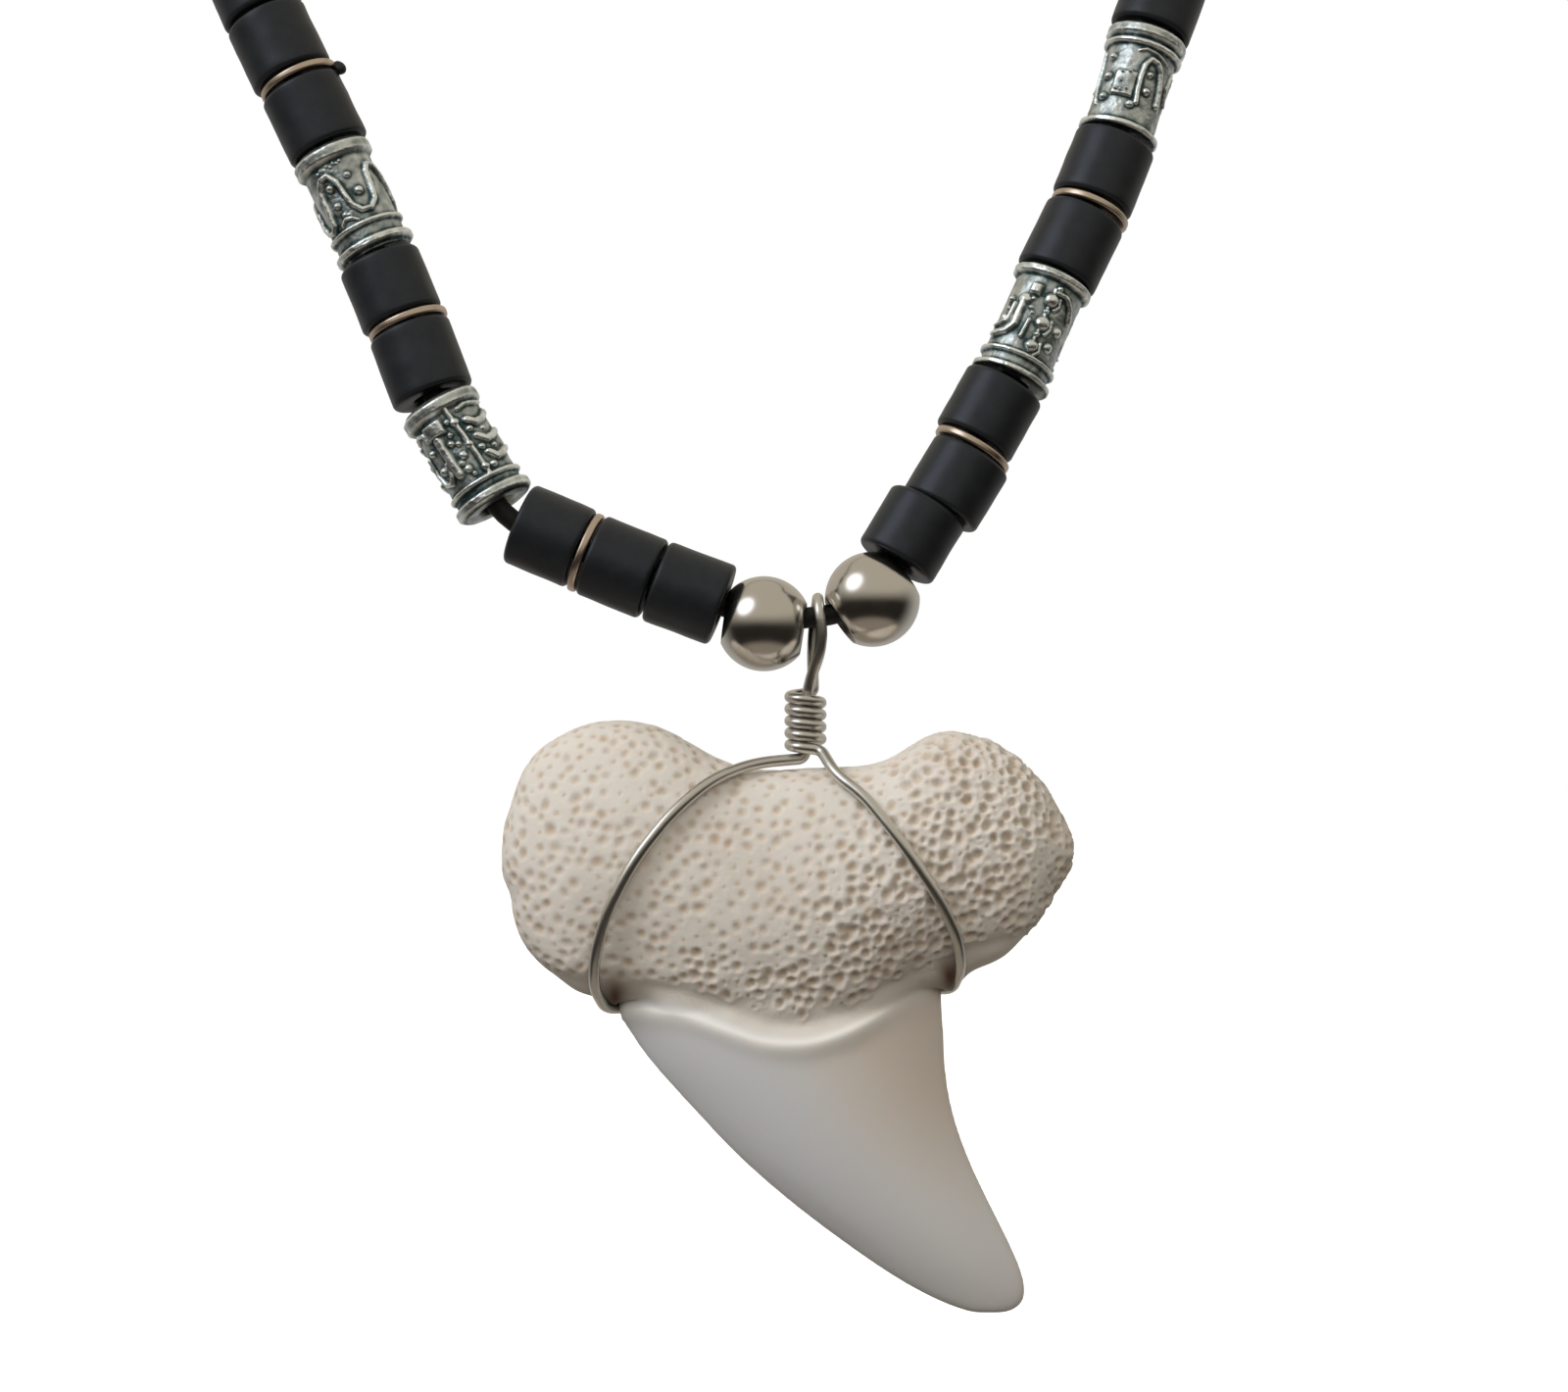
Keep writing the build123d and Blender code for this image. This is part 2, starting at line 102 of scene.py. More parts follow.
def new_finish(name, **sockets):
    """A material with the sockets of its Principled shader set, and that shader and its tree."""
    material = bpy.data.materials.new(name)
    material.use_nodes = True
    tree = material.node_tree
    shader = tree.nodes["Principled BSDF"]
    for socket, value in sockets.items():
        shader.inputs[socket.replace("_", " ")].default_value = value
    return material, tree, shader


MIX_FACTOR = 0
MIX_A = 6
MIX_B = 7
MIX_RESULT = 2

# %% [markdown]
# Polished stainless steel has the look of a clean mirror with the faintest haze. The two balls and
# nothing else have it. A low roughness keeps the dark band of the room clear in the ball, while the
# window turns to a glow. Handling leaves soft patches of haze, about a millimetre and a half wide.

# %% Polished stainless steel
HAZE_SIZE = 1.6

polished_steel, tree, shader = new_finish(
    "polished_stainless_steel", Base_Color=colour("CFCBC4"), Metallic=1.0
)
place = add_node(tree, "ShaderNodeTexCoord")
haze = add_node(
    tree, "ShaderNodeTexNoise", None,
    {"Vector": place.outputs["Object"], "Scale": repeats(HAZE_SIZE), "Detail": 4.0},
)
haze_range = add_node(
    tree, "ShaderNodeMapRange", None,
    {"Value": haze.outputs[0],
     "From Min": 0.35, "From Max": 0.7, "To Min": 0.15, "To Max": 0.22},
)
tree.links.new(haze_range.outputs["Result"], shader.inputs["Roughness"])
print("finish", polished_steel.name)

# %% [markdown]
# The wire is drawn stainless steel. Drawing pulls it through a die and leaves fine lines along it,
# which soften the reflection to a satin streak. The real lines are a few hundredths of a millimetre
# apart, too fine to show, so a noise stands in for them that is as coarse as it needs to be.

# %% Drawn satin wire
DRAW_MARK_SIZE = 0.25
DRAW_MARK_DEPTH = 0.01

satin_wire, tree, shader = new_finish(
    "drawn_satin_wire", Base_Color=colour("D6D4CE"), Metallic=1.0, Roughness=0.31
)
place = add_node(tree, "ShaderNodeTexCoord")
draw_marks = add_node(
    tree, "ShaderNodeTexNoise", None,
    {"Vector": place.outputs["Object"], "Scale": repeats(DRAW_MARK_SIZE), "Detail": 3.0},
)
mark_height = add_node(
    tree, "ShaderNodeBump", None,
    {"Height": draw_marks.outputs[0], "Strength": 0.25, "Distance": DRAW_MARK_DEPTH * MM},
)
tree.links.new(mark_height.outputs["Normal"], shader.inputs["Normal"])
print("finish", satin_wire.name)

# %% [markdown]
# The black beads are turned from coconut shell and polished with oil. The shell is almost black,
# with darker and lighter flecks just under a millimetre long, and its polish is satin, never
# glassy. The oil gives it the IOR of most natural materials, 1.5.

# %% Oiled coconut shell
FLECK_SIZE = 0.9
FLECK_DEPTH = 0.03

coconut_shell, tree, shader = new_finish(
    "oiled_coconut_shell", Roughness=0.38, IOR=1.5, Specular_IOR_Level=0.42,
    Specular_Tint=colour("DCE4F4"),
)
place = add_node(tree, "ShaderNodeTexCoord")
grain = add_node(
    tree, "ShaderNodeTexNoise", None,
    {"Vector": place.outputs["Object"], "Scale": repeats(FLECK_SIZE),
     "Detail": 5.0, "Roughness": 0.6},
)
shell_colour = add_node(
    tree, "ShaderNodeMix", {"data_type": "RGBA"},
    {MIX_FACTOR: grain.outputs[0], MIX_A: colour("141517"), MIX_B: colour("232527")},
)
tree.links.new(shell_colour.outputs[MIX_RESULT], shader.inputs["Base Color"])
grain_height = add_node(
    tree, "ShaderNodeBump", None,
    {"Height": grain.outputs[0], "Strength": 0.35, "Distance": FLECK_DEPTH * MM},
)
tree.links.new(grain_height.outputs["Normal"], shader.inputs["Normal"])
print("finish", coconut_shell.name)

# %% [markdown]
# The thin discs between the black beads are plated brass with a pale champagne tone. The plating is
# bright, but years on a string have dulled it, so its roughness lies between satin and mirror.

# %% Champagne plated brass
DULL_PATCH_SIZE = 0.7

champagne_plate, tree, shader = new_finish(
    "champagne_plated_brass", Base_Color=colour("CBBBAA"), Metallic=1.0
)
place = add_node(tree, "ShaderNodeTexCoord")
dulling = add_node(
    tree, "ShaderNodeTexNoise", None,
    {"Vector": place.outputs["Object"], "Scale": repeats(DULL_PATCH_SIZE), "Detail": 3.0},
)
dull_range = add_node(
    tree, "ShaderNodeMapRange", None,
    {"Value": dulling.outputs[0], "To Min": 0.2, "To Max": 0.42},
)
tree.links.new(dull_range.outputs["Result"], shader.inputs["Roughness"])
print("finish", champagne_plate.name)

# %% [markdown]
# The cord is waxed cotton, black and dull, with strands about 0.3 mm thick under the wax. Only
# slits of it show between the beads.

# %% Black waxed cotton
STRAND_SIZE = 0.3
STRAND_DEPTH = 0.05

waxed_cotton, tree, shader = new_finish(
    "black_waxed_cotton", Base_Color=colour("141416"), Roughness=0.6
)
place = add_node(tree, "ShaderNodeTexCoord")
twist = add_node(
    tree, "ShaderNodeTexNoise", None,
    {"Vector": place.outputs["Object"], "Scale": repeats(STRAND_SIZE), "Detail": 2.0},
)
twist_height = add_node(
    tree, "ShaderNodeBump", None,
    {"Height": twist.outputs[0], "Strength": 0.5, "Distance": STRAND_DEPTH * MM},
)
tree.links.new(twist_height.outputs["Normal"], shader.inputs["Normal"])
print("finish", waxed_cotton.name)

# %% [markdown]
# The clasp lies at the nape, out of the camera's sight. Clasps of this kind are plated with
# rhodium, a cool bright metal. Rubbing on skin dulls it in patches of a millimetre or so.

# %% Rhodium plate
RUBBED_SIZE = 1.2

rhodium_plate, tree, shader = new_finish(
    "rhodium_plated_clasp", Base_Color=colour("C4C4C4"), Metallic=1.0, Roughness=0.22
)
place = add_node(tree, "ShaderNodeTexCoord")
wear = add_node(
    tree, "ShaderNodeTexNoise", None,
    {"Vector": place.outputs["Object"], "Scale": repeats(RUBBED_SIZE), "Detail": 3.0},
)
wear_range = add_node(
    tree, "ShaderNodeMapRange", None, {"Value": wear.outputs[0], "To Min": 0.14, "To Max": 0.34}
)
tree.links.new(wear_range.outputs["Result"], shader.inputs["Roughness"])
print("finish", rhodium_plate.name)

# %% [markdown]
# The cast beads are pewter, blackened and then rubbed so that only the raised parts are bright.
# A point attribute named patina, made with the relief further down, says how deep each place lies.
# Rubbing by hand is uneven, so blotches shift it, and casting leaves pits of about 0.2 mm.

# %% Antiqued pewter
BLOTCH_SIZE = 0.8
PIT_SIZE = 0.22
PIT_DEPTH = 0.05

antiqued_pewter, tree, shader = new_finish("antiqued_pewter", Metallic=1.0)
place = add_node(tree, "ShaderNodeTexCoord")
depth = add_node(tree, "ShaderNodeAttribute", {"attribute_name": "patina"})
blotches = add_node(
    tree, "ShaderNodeTexNoise", None,
    {"Vector": place.outputs["Object"], "Scale": repeats(BLOTCH_SIZE), "Detail": 4.0},
)
blotch_range = add_node(
    tree, "ShaderNodeMapRange", None,
    {"Value": blotches.outputs[0],
     "From Min": 0.3, "From Max": 0.7, "To Min": -0.28, "To Max": 0.28},
)
dark_share = add_node(
    tree, "ShaderNodeMath", {"operation": "ADD", "use_clamp": True},
    {0: depth.outputs["Fac"], 1: blotch_range.outputs["Result"]},
)
pewter_colour = add_node(
    tree, "ShaderNodeMix", {"data_type": "RGBA"},
    {MIX_FACTOR: dark_share.outputs[0], MIX_A: colour("F8FEFD"), MIX_B: colour("43585A")},
)
tree.links.new(pewter_colour.outputs[MIX_RESULT], shader.inputs["Base Color"])
pewter_dulling = add_node(
    tree, "ShaderNodeMapRange", None,
    {"Value": dark_share.outputs[0], "To Min": 0.3, "To Max": 0.5},
)
tree.links.new(pewter_dulling.outputs["Result"], shader.inputs["Roughness"])
pits = add_node(
    tree, "ShaderNodeTexNoise", None,
    {"Vector": place.outputs["Object"], "Scale": repeats(PIT_SIZE), "Detail": 3.0},
)
pit_height = add_node(
    tree, "ShaderNodeBump", None,
    {"Height": pits.outputs[0], "Strength": 0.7, "Distance": PIT_DEPTH * MM},
)
tree.links.new(pit_height.outputs["Normal"], shader.inputs["Normal"])
print("finish", antiqued_pewter.name)

# %% [markdown]
# The tooth is one piece with two finishes: porous root bone above and smooth enamel below. Point
# attributes made with its mesh tell them apart: root, pore, the lip's painted highlight, painted
# shade and warmth. The painted highlight whitens the lip ridge and the painted shade darkens the
# bone, both in the colour. Both finishes scatter a little light under the surface, about half a
# millimetre deep, which keeps the pores from going black. First come the attributes, with the
# colours of bone and enamel on their own.

# %% Colours of bone and enamel
SCATTER_DEPTH = 0.6
CLOUD_SIZE = 5.0

tooth_bone, tree, shader = new_finish(
    "root_bone_and_enamel", IOR=1.5, Subsurface_Weight=0.12, Subsurface_Scale=SCATTER_DEPTH * MM
)
place = add_node(tree, "ShaderNodeTexCoord")
root = add_node(tree, "ShaderNodeAttribute", {"attribute_name": "root"})
pore = add_node(tree, "ShaderNodeAttribute", {"attribute_name": "pore"})
lip_highlight = add_node(tree, "ShaderNodeAttribute", {"attribute_name": "lip_highlight"})
stain = add_node(tree, "ShaderNodeAttribute", {"attribute_name": "stain"})
warmth = add_node(tree, "ShaderNodeAttribute", {"attribute_name": "warmth"})
clouds = add_node(
    tree, "ShaderNodeTexNoise", None,
    {"Vector": place.outputs["Object"], "Scale": repeats(CLOUD_SIZE), "Detail": 3.0},
)
bone_colour = add_node(
    tree, "ShaderNodeMix", {"data_type": "RGBA"},
    {MIX_FACTOR: clouds.outputs[0], MIX_A: colour("D4D0C8"), MIX_B: colour("C9C1B7")},
)
pored_bone = add_node(
    tree, "ShaderNodeMix", {"data_type": "RGBA"},
    {MIX_FACTOR: pore.outputs["Fac"], MIX_A: bone_colour.outputs[MIX_RESULT],
     MIX_B: colour("B5A28C")},
)
enamel_colour = add_node(
    tree, "ShaderNodeMix", {"data_type": "RGBA"},
    {MIX_FACTOR: warmth.outputs["Fac"], MIX_A: colour("C2C3C4"), MIX_B: colour("C3BAAF")},
)
# Painted highlight: the lip share whitens the enamel along the lip ridge, as light from above would.
highlighted_enamel = add_node(
    tree, "ShaderNodeMix", {"data_type": "RGBA"},
    {MIX_FACTOR: lip_highlight.outputs["Fac"], MIX_A: enamel_colour.outputs[MIX_RESULT],
     MIX_B: colour("E2E0DB")},
)
print("colours of", tooth_bone.name)

# %% [markdown]
# The root attribute then chooses bone or enamel, and a painted shade of dark brown lies over both
# where the wire tucks under the root and low on its right. Bone is duller than enamel and has a fine
# grain of about 0.3 mm, which enamel nearly lacks.

# %% Join bone and enamel
GRAIN_SIZE = 0.28
GRAIN_DEPTH = 0.06

whole_colour = add_node(
    tree, "ShaderNodeMix", {"data_type": "RGBA"},
    {MIX_FACTOR: root.outputs["Fac"], MIX_A: highlighted_enamel.outputs[MIX_RESULT],
     MIX_B: pored_bone.outputs[MIX_RESULT]},
)
# Painted shade: dark brown laid over the colour where the wire tucks under the root and low on its
# right.
shaded = add_node(
    tree, "ShaderNodeMix", {"data_type": "RGBA"},
    {MIX_FACTOR: stain.outputs["Fac"], MIX_A: whole_colour.outputs[MIX_RESULT],
     MIX_B: colour("4A3222")},
)
tree.links.new(shaded.outputs[MIX_RESULT], shader.inputs["Base Color"])
bone_dulling = add_node(
    tree, "ShaderNodeMapRange", None, {"Value": root.outputs["Fac"], "To Min": 0.42, "To Max": 0.6}
)
tree.links.new(bone_dulling.outputs["Result"], shader.inputs["Roughness"])
bone_grain = add_node(
    tree, "ShaderNodeTexNoise", None,
    {"Vector": place.outputs["Object"], "Scale": repeats(GRAIN_SIZE), "Detail": 4.0},
)
grain_strength = add_node(
    tree, "ShaderNodeMapRange", None, {"Value": root.outputs["Fac"], "To Min": 0.06, "To Max": 0.5}
)
bone_height = add_node(
    tree, "ShaderNodeBump", None,
    {"Height": bone_grain.outputs[0], "Strength": grain_strength.outputs["Result"],
     "Distance": GRAIN_DEPTH * MM},
)
tree.links.new(bone_height.outputs["Normal"], shader.inputs["Normal"])
print("finish", tooth_bone.name)

# %% [markdown]
# A drilled bead is a body of revolution, so a turned mesh suits it: a profile of radius and length
# is carried round the bead's axis. The axis is read from the CAD node itself. The faces of a bead
# look either along its axis or square to it, so the one direction that differs from the other two
# in the sum over all faces is the axis.

# %% Read a bead's middle, axis and size from its node
SMALLEST_FACE = 1e-14


def triangles_of(mesh):
    """Vertex places and the three corners of each triangle of a mesh."""
    places = np.empty(3 * len(mesh.vertices))
    mesh.vertices.foreach_get("co", places)
    mesh.calc_loop_triangles()
    corners = np.empty(3 * len(mesh.loop_triangles), dtype=int)
    mesh.loop_triangles.foreach_get("vertices", corners)
    return places.reshape(-1, 3), corners.reshape(-1, 3)


def bead_measures(name):
    """A bead's middle, its axis towards the neck, its length and its radius, in metres."""
    places, corners = triangles_of(nodes[name].data)
    first, second, third = (places[corners[:, i]] for i in range(3))
    outward = np.cross(second - first, third - first)
    area = np.linalg.norm(outward, axis=1)
    sound = area > SMALLEST_FACE
    outward = outward[sound]
    area = area[sound]
    middles = ((first + second + third) / 3)[sound]
    spread, directions = np.linalg.eigh((outward / area[:, None]).T @ outward)
    lone = 0 if spread[1] - spread[0] > spread[2] - spread[1] else 2
    axis = directions[:, lone]
    if axis[2] < 0:
        axis = -axis
    along = places @ axis
    middle = (middles * area[:, None]).sum(axis=0) / area.sum()
    middle = middle + axis * ((along.max() + along.min()) / 2 - middle @ axis)
    offset = places - middle
    radius = np.linalg.norm(offset - np.outer(offset @ axis, axis), axis=1).max()
    return middle, axis, along.max() - along.min(), radius


for name in ("coco_bead_left_1", "pewter_bead_left_1", "steel_ball_left", "spacer_left_1"):
    middle, axis, length, radius = bead_measures(name)
    print(name, "length", round(length / MM, 2), "radius", round(radius / MM, 2))

# %% [markdown]
# The turned mesh is a closed skin: its profile runs over the outside and back through the hole.
# A relief can be added to the outside as a height for each turn angle and each place along the
# axis. The angle starts at the side that faces the camera, so that one helper finds the two
# directions square to a bead's axis from which angles are counted.

# %% Turn a bead
def sides_of(axis):
    """The directions square to an axis that look to the front and to the side."""
    front = np.array((0.0, -1.0, 0.0))
    front = front - axis * (front @ axis)
    front = front / np.linalg.norm(front)
    return front, np.cross(axis, front)


def grid_faces(rows, columns):
    """Faces of a grid of points that closes on itself both ways."""
    row = np.arange(rows)[:, None]
    column = np.arange(columns)[None, :]
    next_row = (row + 1) % rows
    next_column = (column + 1) % columns
    corners = [(row, column), (next_row, column), (next_row, next_column), (row, next_column)]
    return np.stack([(r * columns + c).ravel() for r, c in corners], axis=1)


def turned_bead(name, node, body, finish, profile, columns, relief=None):
    """A skin of revolution in the place of a node. The profile lists radius and length in mm."""
    middle, axis, length, radius = bead_measures(node)
    front, side = sides_of(axis)
    rows = np.array(profile, dtype=float)
    turn = np.linspace(-math.pi, math.pi, columns, endpoint=False)
    radii = np.repeat(rows[:, :1], columns, axis=1)
    reach = np.repeat(rows[:, 1:], columns, axis=1)
    patina = np.zeros_like(radii)
    if relief is not None:
        raise_by, patina = relief(np.broadcast_to(turn, radii.shape), reach, radii)
        radii = radii + raise_by
    across = np.cos(turn)[None, :, None] * front + np.sin(turn)[None, :, None] * side
    places = middle + radii[:, :, None] * MM * across + reach[:, :, None] * MM * axis
    faces = grid_faces(len(rows), columns)
    mesh = bpy.data.meshes.new(name)
    mesh.from_pydata(places.reshape(-1, 3).tolist(), [], faces.tolist())
    mesh.polygons.foreach_set("use_smooth", np.ones(len(faces), dtype=bool))
    tone = mesh.attributes.new("patina", "FLOAT", "POINT")
    tone.data.foreach_set("value", patina.ravel())
    mesh.materials.append(finish)
    mesh.update()
    bead = bpy.data.objects.new(name, mesh)
    bpy.context.scene.collection.objects.link(bead)
    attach(bead, body)
    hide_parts(node)
    return bead


# %% [markdown]
# Shell beads and discs share one profile. The drill leaves a small chamfer at the mouth of the
# hole, and polishing rounds the outer edge, here in six steps. Only half of the profile's end is
# worked out. The other end is its mirror.

# %% Profile of a drilled tube with rounded edges
HOLE_CHAMFER = 0.12
EDGE_STEPS = 6


def eased_tube(length, radius, edge, hole, steps):
    """Profile of a tube with rounded edges, from one hole mouth over the outside to the other."""
    end = [(hole, length / 2 - HOLE_CHAMFER), (hole + HOLE_CHAMFER, length / 2)]
    for i in range(EDGE_STEPS + 1):
        angle = math.radians(90 * (1 - i / EDGE_STEPS))
        end.append((radius - edge + edge * math.cos(angle),
                    length / 2 - edge + edge * math.sin(angle)))
    wall = [(radius, (length / 2 - edge) * (1 - 2 * i / steps)) for i in range(1, steps)]
    return end + wall + [(r, -z) for r, z in reversed(end)]


# %% [markdown]
# Each shell bead is turned by hand from a curved piece of shell, so no two are quite alike. A slow
# noise takes up to a twentieth of a millimetre off the outside. Each bead is a hair longer than its
# node, so that neighbours meet in a thin dark seam.

# %% Shell beads and discs
BEAD_HOLE = 1.25
SHELL_EDGE = 0.3
SHELL_UNEVEN = 0.05
SHELL_CLOSER = 0.08
SHELL_OUTSIDE = 2.0
SHELL_COLUMNS = 64
SHELL_ROWS = 12
WAVES_ROUND = 1.3
WAVES_ALONG = 0.4
BEAD_TO_BEAD = 7.1
DISC_EDGE = 0.16
DISC_COLUMNS = 72
DISC_ROWS = 3


def shell_relief(number):
    """The unevenness of one shell bead, by its number."""
    own_noise = Vector((BEAD_TO_BEAD * number, 0, 0))

    def relief(turn, reach, radii):
        rise = np.zeros_like(radii)
        for i, j in np.ndindex(radii.shape):
            if radii[i, j] > SHELL_OUTSIDE:
                angle = turn[i, j]
                spot = Vector((math.cos(angle), math.sin(angle), WAVES_ALONG * reach[i, j]))
                rise[i, j] = -SHELL_UNEVEN * abs(noise.noise(WAVES_ROUND * spot + own_noise))
        return rise, np.zeros_like(radii)
    return relief


shell_names = [name for name in sorted(nodes) if name.startswith("coco_bead")]
for number, name in enumerate(shell_names, start=1):
    middle, axis, length, radius = bead_measures(name)
    profile = eased_tube(
        length / MM + SHELL_CLOSER, radius / MM, SHELL_EDGE, BEAD_HOLE, SHELL_ROWS
    )
    turned_bead(
        "shell_" + name, name, "strand", coconut_shell,
        profile, SHELL_COLUMNS, shell_relief(number),
    )
print("shell beads", len(shell_names))

disc_names = [name for name in sorted(nodes) if name.startswith("spacer")]
for name in disc_names:
    middle, axis, length, radius = bead_measures(name)
    profile = eased_tube(length / MM, radius / MM, DISC_EDGE, BEAD_HOLE, DISC_ROWS)
    turned_bead(
        "disc_" + name, name, "strand", champagne_plate, profile, DISC_COLUMNS
    )
print("discs", len(disc_names))

# %% [markdown]
# One shell bead on the left kept a burr from the drill. It sticks out beside the disc below it, as
# a small black knob, and it breaks the row of clean edges there.

# %% The burr beside one disc
BURR_OUT = 2.62
BURR_UP = -0.3
BURR_SIZE = 0.9
BURR_LUMPS = 1.8
BURR_ROUGH = 0.25

middle, axis, length, radius = bead_measures("spacer_left_3")
front, side = sides_of(axis)
burr_middle = Vector(middle + (side * BURR_OUT + axis * BURR_UP) * MM)
bpy.ops.mesh.primitive_ico_sphere_add(subdivisions=4, radius=BURR_SIZE / 2 * MM)
burr = bpy.context.object
burr.name = "shell_burr"
for point in burr.data.vertices:
    lump = noise.noise(point.co / MM * BURR_LUMPS)
    point.co = burr_middle + point.co * (1 + BURR_ROUGH * lump)
burr.data.polygons.foreach_set("use_smooth", np.ones(len(burr.data.polygons), dtype=bool))
burr.data.materials.append(coconut_shell)
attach(burr, "strand")
print("burr at", [round(value / MM, 1) for value in burr_middle])

# %% [markdown]
# The two balls are steel, ground round and drilled. A mirror shows every facet, so they are turned
# far finer than the other beads.

# %% Mirror balls
BALL_HOLE = 1.6
BALL_ROWS = 72
BALL_COLUMNS = 128


def ball_profile(radius):
    """Outside of a drilled ball. The profile's end meets its start through the hole."""
    mouth = math.asin(BALL_HOLE / radius)
    angles = [mouth + (math.pi - 2 * mouth) * i / BALL_ROWS for i in range(BALL_ROWS + 1)]
    return [(radius * math.sin(angle), radius * math.cos(angle)) for angle in angles]


for side in ("left", "right"):
    name = "steel_ball_" + side
    middle, axis, length, radius = bead_measures(name)
    turned_bead(
        "mirror_ball_" + side, name, "strand", polished_steel,
        ball_profile(radius / MM), BALL_COLUMNS,
    )
print("balls of radius", round(radius / MM, 3), "mm")

# %% [markdown]
# The four cast beads carry raised ornament: bands at the rims, ribs, dots and square bosses, in a
# loose geometric style. Each is drawn here as strokes on the bead's surface, in millimetres across
# and up as it looks from the front, and the same strokes come again on the far side.
# A band is its place along the bead, its width and its height. A rib is a line of points, then its
# width and height. A dot is across, up, width and height. A block is across, up, width, length and
# height.

# %% The ornament of the cast beads

